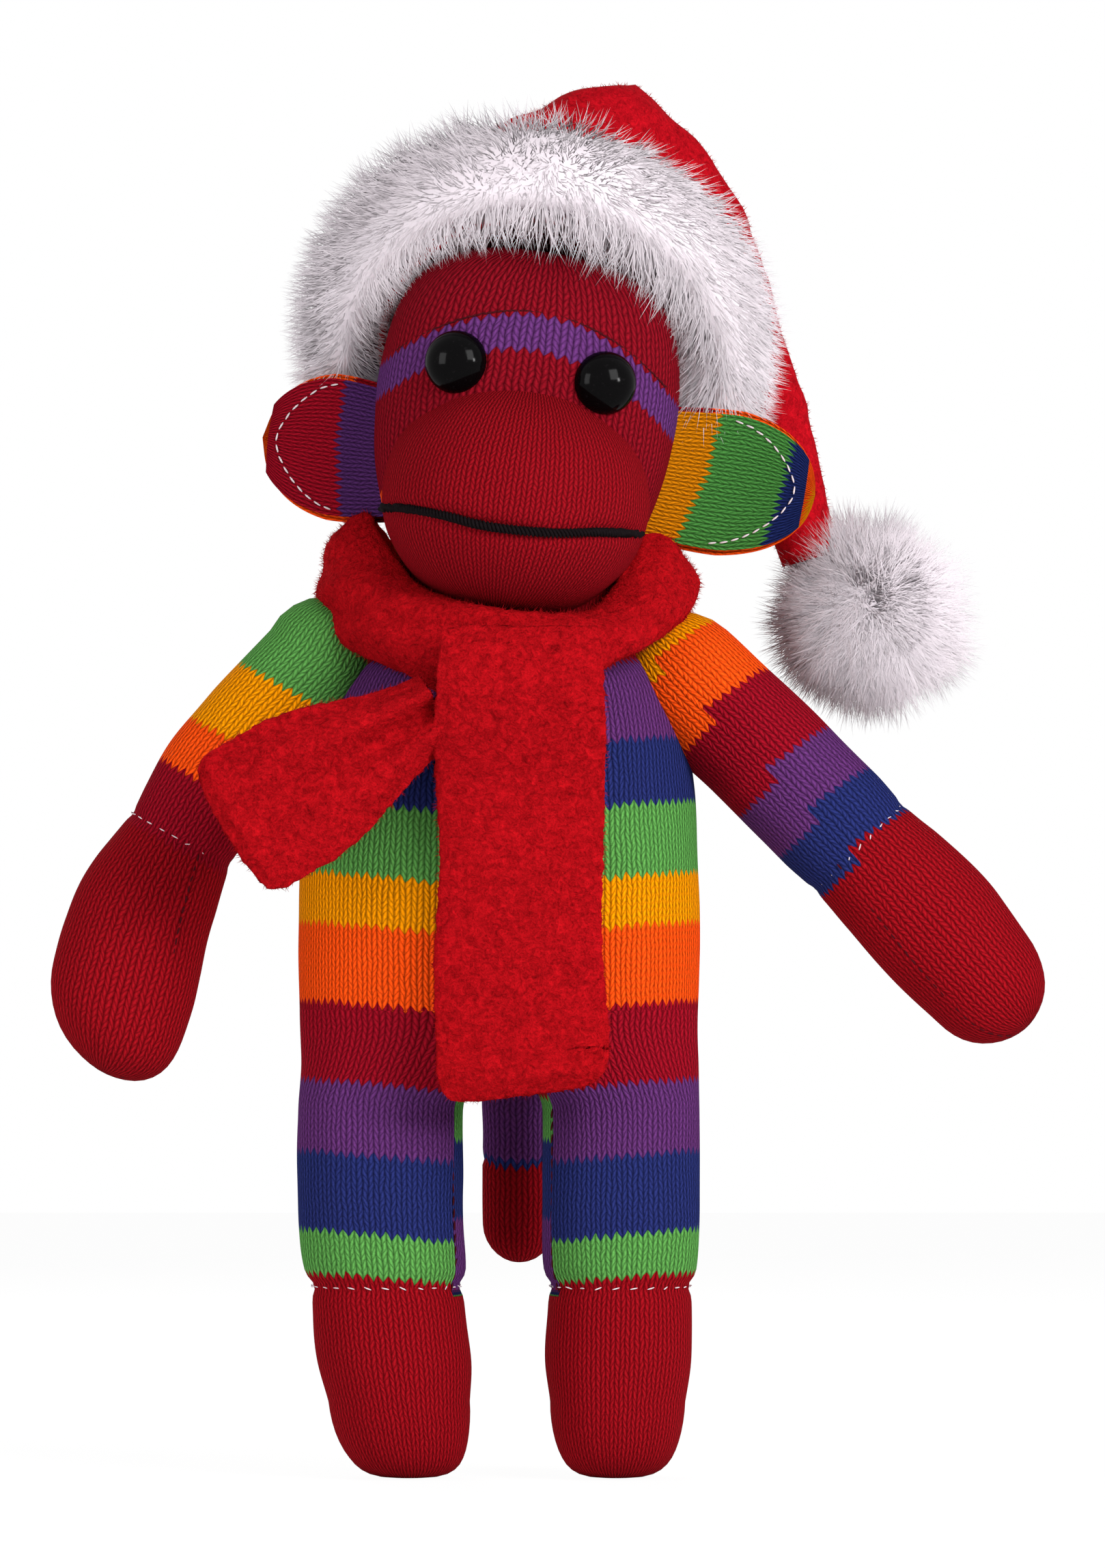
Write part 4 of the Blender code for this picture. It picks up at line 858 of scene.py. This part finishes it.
def makeMouth():
    line = []
    for index in range(mouthForm["steps"] + 1):
        across = -0.985 + 1.955 * index / mouthForm["steps"]
        height = tableAt(mouthTable, across)[0]
        wander = 0.004 * noise.noise(Vector((across * 4, 0, 3)))
        line.append(muzzlePoint(across * 0.995, height + wander, -0.0002))
    plies = []
    for ply in range(mouthForm["plies"]):
        start = 2 * pi * ply / mouthForm["plies"]
        rings = []
        side = Vector((0, 0, 1))
        travelled = 0
        for index, point in enumerate(line):
            along = (line[min(index + 1, len(line) - 1)] - line[max(index - 1, 0)]).normalized()
            side = (side - along * side.dot(along)).normalized()
            other = along.cross(side)
            if index:
                travelled += (point - line[index - 1]).length
            turn = start + 2 * pi * mouthForm["turnsPerMetre"] * travelled
            middle = point + (side * cos(turn) + other * sin(turn)) * mouthForm["offset"]
            radius = mouthForm["plyRadius"] * (1 + 0.15 * noise.noise(point * 900 + Vector((ply, 0, 0))))
            rings.append(ellipse(middle, side * radius, other * radius, 8))
        plies.append(ringSkin("mouthPly%d" % ply, rings, blackYarn, 4, lambda row, point: row * 0.5))
    mouth = joined("mouthYarn", plies)
    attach(mouth, "head")
    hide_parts("mouth_yarn")


makeMouth()

eyeForm = {"radius": 0.0062, "bulge": 0.0050, "spacing": 0.0144, "rise": 0.0113, "lift": 0.0003, "ahead": 0.5,
           "faceWidth": 0.0298, "faceDepth": 0.0270}


def makeEye(name, side):
    # a smooth dome on a short collar, where the safety eye's shank goes in
    width = tableAt(headTable, eyeForm["rise"] / headForm["halfHeight"])[0]
    wide, deep = eyeForm["faceWidth"], eyeForm["faceDepth"]
    span = sqrt(1 - (eyeForm["spacing"] / (wide * width)) ** 2)
    place = Vector((eyeForm["spacing"] * side, -deep * width * span, eyeForm["rise"]))
    outward = Vector((place.x / wide ** 2, place.y / deep ** 2, 0)).normalized()
    outward = outward.lerp(Vector((0, -1, 0)), eyeForm["ahead"]).normalized()
    across = Vector((0, 0, 1)).cross(outward).normalized()
    upward = outward.cross(across)
    profile = [(0.55, -0.0008), (0.80, -0.0008), (0.93, -0.0004), (0.995, 0.0003)]
    profile += [(cos(radians(turn)), 0.0006 + eyeForm["bulge"] * sin(radians(turn))) for turn in range(0, 90, 4)]
    rings = []
    for reach, height in profile:
        middle = place + outward * (height + eyeForm["lift"])
        ring = ellipse(middle, across * eyeForm["radius"] * reach, upward * eyeForm["radius"] * reach, 48)
        rings.append([headMatrix @ point for point in ring])
    eye = ringSkin(name + "Dome", rings, eyePlastic, 1)
    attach(eye, "head")
    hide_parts(name.replace("Eye", "_eye"))


makeEye("leftEye", 1)
makeEye("rightEye", -1)
print("head ready")

# Neck

neckForm = {"halfWidth": 0.0215, "halfDepth": 0.0165, "flare": 0.001, "low": 0.160, "height": 0.020, "middle": 0.0015, "lean": 0.001,
            "bendFrom": 0.166, "bendTo": 0.178}


def makeNeck():
    rings = []
    for index in range(14):
        share = index / 13
        middle = Vector((neckForm["middle"] + neckForm["lean"] * share, 0, neckForm["low"] + neckForm["height"] * share))
        flare = neckForm["flare"] * (2 * share - 1) ** 2
        rings.append(levelRing(middle, neckForm["halfWidth"] + flare, neckForm["halfDepth"] + flare, 40))
    piece = ringSkin("neckKnit", rings, knitRed, 64, lambda row, point: point.z / coursePitch)
    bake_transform(piece)
    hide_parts("neck_stuffing")


makeNeck()

# Ears

earForms = {
    "left": {"side": 1, "width": 0.0288, "drop": 0.0040, "sweep": radians(4), "material": knitLeftEar, "slope": 0.07},
    "right": {"side": -1, "width": 0.0228, "drop": 0.0077, "sweep": radians(20), "material": knitRightEar, "slope": 0.0},
}
earLook = {"height": 0.0300, "hinge": 0.0300, "bendTo": 0.0340, "layer": 0.0021, "cup": 0.0036, "root": 0.0022, "tuck": 0.0040,
           "steps": 40, "rows": 36, "swell": 0.0009, "wale": 0.00185}


def earPoint(form, share, rise, depth):
    # share outwards, rise from -1 to 1 up the ear, depth through its two layers
    half = earLook["height"] / 2 * max(1 - share ** 3.6, 0.0) ** 0.5 * (0.88 + 0.12 * min(2 * share, 1))
    root = earLook["root"] + earLook["tuck"] * smoothStep((0.2 - rise) / 1.2)
    place = form["side"] * (-root + (form["width"] + root) * share)
    bend = earLook["cup"] * (4 * share * (1 - share)) * (1 - 0.35 * rise * rise) + 0.0012 * rise * rise * share
    local = Vector((place, bend + depth - 0.0003, half * rise))
    turned = Matrix.Rotation(form["sweep"] * form["side"], 3, "Z") @ local
    hinge = Vector((earLook["hinge"] * form["side"], -earLook["layer"] - 0.0001, -form["drop"]))
    return headMatrix @ (hinge + turned)


def makeEarLayer(name, form, front):
    steps, rows = earLook["steps"], earLook["rows"]
    shape = bmesh.new()
    layer = shape.loops.layers.uv.new("stitches")
    shrink = 0.93 if front else 1.0
    sheets = []
    for lift in (0, 1):
        sheet = []
        for step in range(steps + 1):
            share = 1 - (1 - step / steps) ** 1.6
            line = []
            for row in range(rows + 1):
                rise = sin(pi / 2 * (2 * row / rows - 1))
                reach = share * shrink
                edge = max(abs(rise) ** 4, share ** 6)
                plump = earLook["swell"] * (1 - edge)
                if front:
                    faces = (-plump, earLook["layer"] * (1 - edge * 0.3))
                else:
                    faces = (earLook["layer"] * (1 + edge * 0.15), 2 * earLook["layer"] * (1 - 0.15 * edge) + plump)
                point = earPoint(form, reach, rise * shrink, faces[lift])
                line.append((shape.verts.new(point + midline), reach, rise))
            sheet.append(line)
        sheets.append(sheet)

    def addFace(corners):
        try:
            face = shape.faces.new([corner[0] for corner in corners])
        except ValueError:
            return
        for loop, (vert, reach, rise) in zip(face.loops, corners):
            up = rise * earLook["height"] / 2
            loop[layer].uv = (up / earLook["wale"], (reach * form["width"] - form["slope"] * up) / coursePitch)

    for sheet in sheets:
        for step in range(steps):
            for row in range(rows):
                addFace((sheet[step][row], sheet[step + 1][row], sheet[step + 1][row + 1], sheet[step][row + 1]))
    low, high = sheets
    border = [(0, row) for row in range(rows)] + [(step, rows) for step in range(steps)]
    border += [(steps, row) for row in range(rows, 0, -1)] + [(step, 0) for step in range(steps, 0, -1)]
    for index, (step, row) in enumerate(border):
        nextStep, nextRow = border[(index + 1) % len(border)]
        addFace((low[step][row], low[nextStep][nextRow], high[nextStep][nextRow], high[step][row]))
    bmesh.ops.remove_doubles(shape, verts=shape.verts, dist=0.00002)
    bmesh.ops.recalc_face_normals(shape, faces=shape.faces)
    return pieceFrom(shape, name, form["material"] if front else knitEarBack)


for name, form in earForms.items():
    for front in (True, False):
        piece = makeEarLayer(name + ("EarFront" if front else "EarBack"), form, front)
        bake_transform(piece)
        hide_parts(name + ("_ear_front" if front else "_ear_back"))
    line = []
    for index in range(49):
        turn = radians(-78 + 156 * index / 48)
        share = 0.30 + 0.56 * cos(turn) ** 0.8
        rise = sin(turn) * 0.86
        line.append(earPoint(form, share, rise, -earLook["swell"] * (1 - max(abs(rise) ** 4, share ** 6)) - 0.00015))
    sewSeam(name + "EarStitches", line, whiteThread, name + "_ear",
            {"Pitch": 0.0022, "Stitch Length": 0.0017, "Radius": 0.00019, "Wander": 0.12, "Seed": 8})
print("ears ready")

# Tail

tailForm = {"root": Vector((0.0038, 0.0301, 0.1030)), "radius": 0.0072, "rootShare": 0.8, "length": 0.0640, "hang": radians(14),
            "bow": 0.0040, "sewn": 0.0016, "sides": 48, "tip": 0.68}


def makeTail():
    radius, length, small = tailForm["radius"], tailForm["length"], tailForm["rootShare"]
    turn = Matrix.Rotation(tailForm["hang"], 3, "X")
    rings = []
    shares = [-small * radius / length * sin(radians(angle)) for angle in (84, 60, 36, 16)]
    shares += [(1 - radius / length) * index / 48 for index in range(49)]
    shares += [1 - radius / length * (1 - sin(radians(angle))) for angle in (12, 24, 36, 48, 60, 70, 78, 85)]
    for share in shares:
        if share < 0:
            width = small * radius * sqrt(max(1 - (share * length / small / radius) ** 2, 0.001))
        elif share > 1 - radius / length:
            width = radius * sqrt(max(1 - ((share - 1) * length / radius + 1) ** 2, 0.001))
        else:
            width = radius * (small + (1 - small) * smoothStep(share * 4))
        pull = 0.0005 * max(0, 1 - abs(share - tailForm["tip"]) / 0.02)
        sewn = tailForm["sewn"] * max(1 - 6 * max(share, 0), 0)  # the root leans in to where it is sewn on
        middle = Vector((0, tailForm["bow"] * sin(pi * share) - sewn, -share * length))
        ring = levelRing(middle, width - pull, width - pull, tailForm["sides"])
        ring = [point + (point - middle).normalized() * 0.0004 * noise.noise(point / 0.009) for point in ring]
        rings.append([tailForm["root"] + turn @ point for point in ring])
    inverse = turn.inverted()
    piece = ringSkin("tailKnit", rings, knitTail, round(0.045 / walePitch),
                     lambda row, point: -(inverse @ (point - tailForm["root"])).z / coursePitch)
    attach(piece, "tail")
    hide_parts("tail_skin", "tail_tip_skin", "tail_stuffing")


makeTail()
print("tail ready")

# Scarf

collarForm = {"inner": 0.0240, "innerSide": 0.0045, "outer": 0.0280, "swell": 0.0095, "low": 0.1490, "rise": 0.0350, "lean": 0.09,
              "sections": 150, "corners": 44, "ripple": 0.0007, "tuck": 0.0050}
collarTable = ((0.0, 0.47, 0.0, 0.60), (0.0, 0.51, 0.30, 0.66), (1.0, 0.98, 0.52, 1.10), (0.7, 0.85, 0.40, 0.90),
               (0.25, 0.66, 0.34, 0.80), (0.7, 0.82, 0.40, 0.84), (1.0, 0.93, 0.42, 1.00), (0.0, 0.55, 0.26, 0.66))
scarfFuzz = {"Density": 1.4e6, "Length": 0.0012, "Shortest": 0.4, "Thickness": 0.00010, "Curl": 0.5, "Clump Size": 0.0022,
             "Clump Lean": 2.4, "Stray Lean": 0.7, "Sections": 1, "Seed": 11}


def pileDepth(point, size, depth):
    # the clumps of the curly pile, as real relief
    first = noise.noise(point / size)
    second = noise.noise(point / size * 2.1 + Vector((5, 3, 1)))
    return depth * (first + 0.5 * second)


def relief(piece, size=0.0017, depth=0.00040):
    mesh = piece.data
    normals = [Vector(vert.normal) for vert in mesh.vertices]
    for vert, normal in zip(mesh.vertices, normals):
        vert.co += normal * pileDepth(vert.co, size, depth)
    mesh.update()
    return piece


def makeCollar():
    count = len(collarTable)
    table = [(index / count, *collarTable[index % count]) for index in range(-1, count + 2)]
    rings = []
    for index in range(collarForm["sections"]):
        turn = index / collarForm["sections"]
        inner, outer, low, top = tableAt(table, turn)
        outward = Vector((sin(2 * pi * turn), -cos(2 * pi * turn), 0))
        inner = collarForm["inner"] + collarForm["innerSide"] * inner
        outer = collarForm["outer"] + collarForm["swell"] * outer
        lean = -collarForm["lean"] * outer * outward.x
        low = collarForm["low"] + collarForm["rise"] * low
        top = collarForm["low"] + collarForm["rise"] * top + lean
        halfDeep, halfHigh = (outer - inner) / 2, (top - low) / 2
        ring = []
        for corner in range(collarForm["corners"]):
            angle = 2 * pi * corner / collarForm["corners"]
            side, up = cos(angle), sin(angle)
            grow = 1 / (abs(side) ** 2.3 + abs(up) ** 2.3) ** (1 / 2.3)
            # the wrap's upper edge tucks in under the cheeks
            tuck = collarForm["tuck"] * abs(outward.x) * max(up, 0) ** 2
            reach = (inner + outer) / 2 + halfDeep * side * grow - tuck
            height = (low + top) / 2 + halfHigh * up * grow * (1 + 0.22 * max(up, 0) * abs(outward.x))
            # soft folds run round the wrap
            drift = noise.noise(Vector((sin(2 * pi * turn) * 1.6, cos(2 * pi * turn) * 1.6, 2)))
            fold = collarForm["ripple"] * sin(height * 620 + 5 * drift) * max(side, 0)
            ring.append(outward * (reach + fold) + Vector((neckPivot.x, 0, height)))
        rings.append(ring)
    piece = ringSkin("scarfWrap", rings, scarfPile, 80, closed=True)
    return relief(piece)


frontForm = {"middle": 0.0043, "width": 0.0326, "top": 0.1668, "bottom": 0.0757, "depth": 0.0250, "clear": 0.0006, "swell": 0.0093,
             "thick": 0.0050, "steps": 150, "columns": 54}
frontTable = ((0.0, 0.78), (0.12, 0.94), (0.22, 0.72), (0.36, 0.22), (0.55, 0.03), (0.85, 0.0), (1.0, 0.04))


def slab(name, pointAt, steps, columns, material):
    # a thick soft strip: pointAt(share along, place across from -1 to 1, lift 0 behind to 1 in front)
    rings = []
    for step in range(steps + 1):
        share = step / steps
        ring = []
        for index in range(2 * columns):
            angle = pi * index / columns
            side, up = cos(angle), sin(angle)
            grow = 1 / (abs(side) ** 5 + abs(up) ** 2.4) ** (1 / 3.6)
            side = max(min(side * grow, 1), -1)
            ring.append(pointAt(share, side, 0.5 + 0.5 * up))
        rings.append(ring)
    return ringSkin(name, rings, material, columns)


def frontPoint(share, place, lift):
    left = 1 - share
    corner = max(1 - left / 0.075, 0)
    rounding = 1 - 0.30 * (1 - sqrt(1 - corner ** 2))
    ahead = tableAt(frontTable, share)[0]
    inner = -(frontForm["depth"] + frontForm["clear"] + frontForm["swell"] * ahead)
    half = frontForm["width"] / 2 * (0.93 + 0.07 * min(share * 4, 1)) * (1 + 0.03 * sin(share * 9))
    thin = min(1, left * 22 + 0.12) * min(1, share * 16 + 0.25)
    deep = frontForm["thick"] * (1.12 - 0.25 * abs(place) ** 3) * thin
    edge = 0.0018 * sin(share * 14 + 1.5) * share
    bulge = frontForm["thick"] * 0.5
    height = frontForm["top"] - (frontForm["top"] - frontForm["bottom"]) * share
    slant = 0.0015 * place * (share > 0.9) * share
    return Vector((frontForm["middle"] + edge * 0.3 + place * half * rounding, inner - bulge - (lift - 0.5) * deep, height + slant))


sideForm = {"root": Vector((-0.0166, -0.0368, 0.1480)), "length": 0.0405, "width": 0.0300, "rootWidth": 0.0150,
            "slope": radians(30.5), "fold": 0.0050, "ahead": 0.0044, "thick": 0.0045}


def sidePoint(share, place, lift):
    half = (sideForm["rootWidth"] + (sideForm["width"] - sideForm["rootWidth"]) * smoothStep(min(share * 1.4, 1))) / 2
    fold = sideForm["fold"] * (1 - 0.72 * share)
    wave = (0.5 - 0.5 * cos(2 * pi * place)) * fold * (1 if place > -0.1 else 0.8)
    thin = min(1, (1 - share) * 14 + 0.25) * (1 - 0.3 * abs(place) ** 6)
    depth = 0.0042 + 0.0041 - sideForm["ahead"] * share - wave - sideForm["thick"] * (0.5 + (lift - 0.5) * thin)
    rounding = 1 - 0.10 * max(0, (share - 0.9) / 0.1) ** 2 * abs(place)
    reach = sideForm["length"] * share + 0.0016 * (1 - place * place) * share
    local = Vector((-reach + 0.006 * (1 - share), depth, place * half * rounding))
    return sideForm["root"] + Matrix.Rotation(-sideForm["slope"], 3, "Y") @ local


collar = makeCollar()
frontEnd = relief(slab("scarfFall", frontPoint, frontForm["steps"], frontForm["columns"], scarfPile))
sideEnd = relief(slab("scarfShortEnd", sidePoint, 90, 50, scarfPile))
scarfParts = ((collar, "torso", "scarf_collar", (0.030, 0.180), 11),
              (frontEnd, "scarf_front", "scarf_front_end", (0.0335, 0.0925), 12),
              (sideEnd, "scarf_side", "scarf_side_end", (0.030, 0.042), 13))
for piece, body, node, flat, seed in scarfParts:
    fuzz = growOn(piece.name + "Curls", piece, scarfStrand, dict(scarfFuzz, Seed=seed))
    for part in (piece, fuzz):
        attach(part, body)
    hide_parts(node)
print("scarf ready")

# Hat

hatForm = {"setBack": 0.0121, "rise": 0.0196, "lean": radians(50), "halfWidth": 0.0288, "halfDepth": 0.0322, "rim": 0.0060,
           "fleece": 0.0020, "fold": Vector((0.0270, 0.0300, 0.2622)), "foldHeight": 0.0112, "foldDepth": 0.0100, "sides": 96,
           "tipEnd": Vector((0.0620, 0.0405, 0.1810)), "tipRadius": 0.0058, "sag": Vector((0.0040, 0.0045, 0.0100)),
           "cloth": 0.0015, "flare": 0.0012, "cut": (0.195, 0.170), "cutArea": 0.0166}
hatMatrix = headMatrix @ Matrix.Translation((0, hatForm["setBack"], hatForm["rise"])) @ Matrix.Rotation(-hatForm["lean"], 4, "X")


def hatRing(rim, across, deep, sides):
    turned = hatMatrix.to_3x3()
    return ellipse(hatMatrix @ Vector((0, 0, rim)), turned @ Vector((across, 0, 0)), turned @ Vector((0, deep, 0)), sides)


def makeHatCone():
    sides = hatForm["sides"]
    across, deep = hatForm["halfWidth"] + hatForm["fleece"], hatForm["halfDepth"] + hatForm["fleece"]
    rim = hatRing(-hatForm["rim"], across, deep, sides)
    start = hatRing(hatForm["rim"] / 2, across + hatForm["flare"], deep + hatForm["flare"], sides)
    startMiddle = sum(start, Vector()) / sides
    fold = hatForm["fold"]
    middle = startMiddle.lerp(fold, 0.62) + Vector((-0.33, 0.10, 0.22)) * hatForm["halfDepth"]
    slant = Vector((1, 0, -1)).normalized() * (0.68 * across)
    back = Vector((0, 0.92, -0.38)) * (0.80 * deep)
    control = ellipse(middle, slant, back, sides)
    grow = hatForm["fleece"]
    end = ellipse(fold, Vector((0, 0, -hatForm["foldHeight"] - grow)), Vector((0, hatForm["foldDepth"] + grow, 0)), sides)
    rings = [rim, [a.lerp(b, 0.5) for a, b in zip(rim, start)]]
    for index in range(40):
        share = index / 40
        rings.append([a * (1 - share) ** 2 + b * 2 * share * (1 - share) + c * share ** 2 for a, b, c in zip(start, control, end)])
    # the tip hangs from the fold
    bend = fold.lerp(hatForm["tipEnd"], 0.45) + hatForm["sag"]
    for index in range(45):
        share = index / 44
        point = fold * (1 - share) ** 2 + bend * 2 * share * (1 - share) + hatForm["tipEnd"] * share ** 2
        along = ((bend - fold) * (1 - share) + (hatForm["tipEnd"] - bend) * share).normalized()
        along = (Vector((1, 0, 0)) * max(1 - 3 * share, 0) + along * min(3 * share, 1)).normalized()
        half = hatForm["foldHeight"] * (1 - share) + hatForm["tipRadius"] * share + grow * (1 - share)
        depth = hatForm["foldDepth"] * (1 - share) + hatForm["tipRadius"] * share + grow * (1 - share)
        rings.append(ellipse(point, Vector((0, 1, 0)).cross(along).normalized() * half, Vector((0, depth, 0)), sides))
    softened = []
    for row, ring in enumerate(rings):
        inner = sum(ring, Vector()) / len(ring)
        fade = min(row / 10, 1) * min((len(rings) - row) / 10, 1)
        lumps = [0.0016 * noise.noise(point / 0.013) + 0.0008 * noise.noise(point / 0.006) for point in ring]
        softened.append([point + (point - inner).normalized() * fade * lump for point, lump in zip(ring, lumps)])
    piece = ringSkin("hatCone", softened, hatPile, 90, capStart=False)
    wall = piece.modifiers.new("wall", "SOLIDIFY")
    wall.thickness = hatForm["cloth"]
    wall.offset = -1
    return meshOf(piece)


hatCone = makeHatCone()
hatFuzz = growOn("hatConeFuzz", hatCone, hatStrand, dict(scarfFuzz, Density=5e5, Length=0.0010, Seed=14))
foldSpot = hatForm["fold"] + midline
furForm = {"radial": 0.0060, "offset": 0.0089, "halfHeight": 0.0100, "sections": 110, "corners": 26}
furLook = {"Density": 1.7e6, "Length": 0.0078, "Shortest": 0.7, "Thickness": 0.00017, "Curl": 0.3, "Clump Size": 0.0050,
           "Clump Lean": 2.0, "Stray Lean": 0.16, "Sections": 2, "Seed": 21, "leftWay": (-0.35, -0.15, -0.25),
           "rightWay": (0.55, -0.40, -0.95), "inwards": 0.75, "browLonger": 0.8}


def makeFurGround():
    rings = []
    for index in range(furForm["sections"]):
        turn = 2 * pi * index / furForm["sections"]
        outward = Vector((cos(turn), sin(turn), 0))
        across, deep = hatForm["halfWidth"] + furForm["offset"], hatForm["halfDepth"] + furForm["offset"]
        reach = Vector((outward.x * across, outward.y * deep, 0))
        ring = []
        for corner in range(furForm["corners"]):
            angle = 2 * pi * corner / furForm["corners"]
            upwards = Vector((0, 0, furForm["halfHeight"] * sin(angle)))
            ring.append(hatMatrix @ (reach + outward * furForm["radial"] * cos(angle) + upwards))
        rings.append(ring)
    return ringSkin("furBandGround", rings, furGround, 40, closed=True)


def paintPile(piece, combing, longer):
    # what the pile's way and length depend on, kept on the ground's points
    mesh = piece.data
    for label, kind in (("combing", "FLOAT_VECTOR"), ("longer", "FLOAT"), ("facing", "FLOAT_VECTOR")):
        mesh.attributes.new(label, kind, "POINT")
    normals = [Vector(vert.normal) for vert in mesh.vertices]
    for index, normal in enumerate(normals):
        place = mesh.vertices[index].co - midline
        mesh.attributes["combing"].data[index].vector = combing(place, normal)
        mesh.attributes["longer"].data[index].value = longer(place, normal)
        mesh.attributes["facing"].data[index].vector = Vector((0, -0.9, 0.3)) * smoothStep(0.6 - normal.y)


def furCombing(place, normal):
    # the hair lies outwards at one side, and over the brow and down at the other
    local = hatMatrix.inverted() @ place
    share = smoothStep(local.x / hatForm["halfWidth"] * 0.5 + 0.5)
    radial = hatMatrix.to_3x3() @ Vector((local.x, local.y, 0)).normalized()
    inner = smoothStep(0.3 - normal.dot(radial)) * smoothStep(0.5 - normal.y)
    return Vector(furLook["leftWay"]).lerp(Vector(furLook["rightWay"]), share) - radial * inner * furLook["inwards"]


def furLonger(place, normal):
    local = hatMatrix.inverted() @ place
    radial = hatMatrix.to_3x3() @ Vector((local.x, local.y, 0)).normalized()
    inner = smoothStep(0.3 - normal.dot(radial)) * smoothStep(0.5 - normal.y)
    return 0.25 * noise.noise(place / 0.007) + inner * furLook["browLonger"] * smoothStep(local.x / hatForm["halfWidth"] + 0.9)


furBand = makeFurGround()
paintPile(furBand, furCombing, furLonger)
furHair = growOn("furBandHair", furBand, furStrand, furLook)
furHair.visible_shadow = False  # light comes through real fur
for piece in (furBand, furHair):
    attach(piece, "hat")
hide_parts("hat_fur_band")

pompomForm = {"middle": Vector((0.0737, 0.0405, 0.1700)), "ground": 0.0118}
pompomLook = {"Density": 9.5e6, "Length": 0.0115, "Shortest": 0.6, "Thickness": 0.00018, "Curl": 0.28, "Clump Size": 0.0035,
              "Clump Lean": 1.6, "Stray Lean": 0.2, "Sections": 2, "Seed": 31}


def makePompomGround():
    rings = []
    for index in range(30):
        share = -cos(pi * (index + 0.5) / 30)
        width = sqrt(1 - share * share) * pompomForm["ground"]
        rings.append(levelRing(pompomForm["middle"] + Vector((0, 0, pompomForm["ground"] * share)), width, width, 40))
    return ringSkin("pompomGround", rings, furGround, 40)


pompom = makePompomGround()
paintPile(pompom, lambda place, normal: Vector((0.1, 0, -0.25)),
          lambda place, normal: 0.5 * noise.noise(place / 0.006 + Vector((4, 4, 4))))
pompomHair = growOn("pompomHair", pompom, furStrand, pompomLook)
pompomHair.visible_shadow = False
for piece in (pompom, pompomHair):
    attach(piece, "hanging_tip")
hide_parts("hat_pompom")
hangWay = Vector((1, 0.4, 0.25)).normalized()  # the crown lies wholly before the fold along this way
coneStart, coneEnd = foldSpot - hangWay * 0.0045, foldSpot + hangWay * 0.0110
for piece in (hatCone, hatFuzz):
    tuple(coneStart)
    tuple(coneEnd)
    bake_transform(piece)
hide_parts("hat_crown", "hat_tip")
print("hat ready")

# Hidden pieces that stay as they are

for label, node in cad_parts.items():
    if label.endswith("washer"):
        material = washerPlastic
    elif "stuffing" in label:
        material = fibreFill
    else:
        continue
    for index in range(len(node.material_slots)):
        node.material_slots[index].material = material

# Floor, light and camera

stageForm = {"floor": 1.6, "cameraDistance": 2.6, "centre": (0.01054, 0.13619), "pictureHeight": 0.30780, "sensor": 36}


def seenShare(tree):
    # 1 for what is seen straight or in a gloss, 0 for the light that falls on the doll
    rays = tree.nodes.new("ShaderNodeLightPath").outputs
    bounced = mathNode(tree, "MAXIMUM", rays["Is Glossy Ray"], rays["Is Transmission Ray"])
    return mathNode(tree, "MAXIMUM", rays["Is Camera Ray"], bounced)


def makeFloor():
    mesh = bpy.data.meshes.new("floor")
    reach = stageForm["floor"]
    mesh.from_pydata([(-reach, -reach, 0), (reach, -reach, 0), (reach, reach, 0), (-reach, reach, 0)], [], [(0, 1, 2, 3)])
    material, tree, surface = newMaterial("paleFloor", 0.9, 0.5)
    surface["Base Color"].default_value = (0.86, 0.86, 0.86, 1)
    glow = addNode(tree, "ShaderNodeEmission", {"Color": (1, 1, 1, 1), "Strength": 1.02}).outputs[0]
    mix = addNode(tree, "ShaderNodeMixShader", {0: mathNode(tree, "MULTIPLY", seenShare(tree), 0.93),
                                                1: tree.nodes["Principled BSDF"].outputs[0], 2: glow})
    tree.links.new(mix.outputs[0], tree.nodes["Material Output"].inputs["Surface"])
    mesh.materials.append(material)
    linkPiece("floor", mesh)


def makeLight(name, place, size, power):
    lamp = bpy.data.lights.new(name, "AREA")
    lamp.shape = "RECTANGLE"
    lamp.size, lamp.size_y = size
    lamp.energy = power
    holder = linkPiece(name, lamp)
    holder.location = place
    aim = Vector((0, 0, 0.13)) - Vector(place)
    holder.rotation_euler = aim.to_track_quat("-Z", "Y").to_euler()


def makeWorld():
    world = bpy.data.worlds.new("studio")
    bpy.context.scene.world = world
    world.use_nodes = True
    tree = world.node_tree
    ground = tree.nodes["Background"]
    ground.inputs["Color"].default_value = (1, 0.985, 0.98, 1)
    ground.inputs["Strength"].default_value = 0.33
    white = addNode(tree, "ShaderNodeBackground", {"Color": (1, 1, 1, 1), "Strength": 1}).outputs[0]
    mix = addNode(tree, "ShaderNodeMixShader", {0: seenShare(tree), 1: ground.outputs[0], 2: white})
    tree.links.new(mix.outputs[0], tree.nodes["World Output"].inputs["Surface"])


def makeCamera():
    camera = bpy.data.cameras.new("camera")
    holder = linkPiece("camera", camera)
    across, height = stageForm["centre"]
    distance = stageForm["cameraDistance"]
    holder.location = (across + midline.x, -distance + midline.y, height)
    holder.rotation_euler = (pi / 2, 0, 0)
    camera.sensor_fit = "VERTICAL"
    camera.sensor_height = stageForm["sensor"]
    camera.lens = stageForm["sensor"] * distance / stageForm["pictureHeight"]
    camera.clip_start = 0.01
    bpy.context.scene.camera = holder


makeFloor()
makeLight("softboxRight", (0.60, -0.78, 0.62), (0.45, 0.55), 9.0)
makeLight("softboxLeft", (-0.75, -0.60, 0.40), (0.35, 0.5), 4.0)
makeLight("windowRight", (0.85, -0.70, 0.36), (0.12, 0.16), 3.6)
makeLight("backLight", (-0.2, 0.8, 0.6), (0.6, 0.4), 4.0)
makeWorld()
makeCamera()
bpy.context.scene.view_settings.view_transform = "Standard"
print("stage ready")
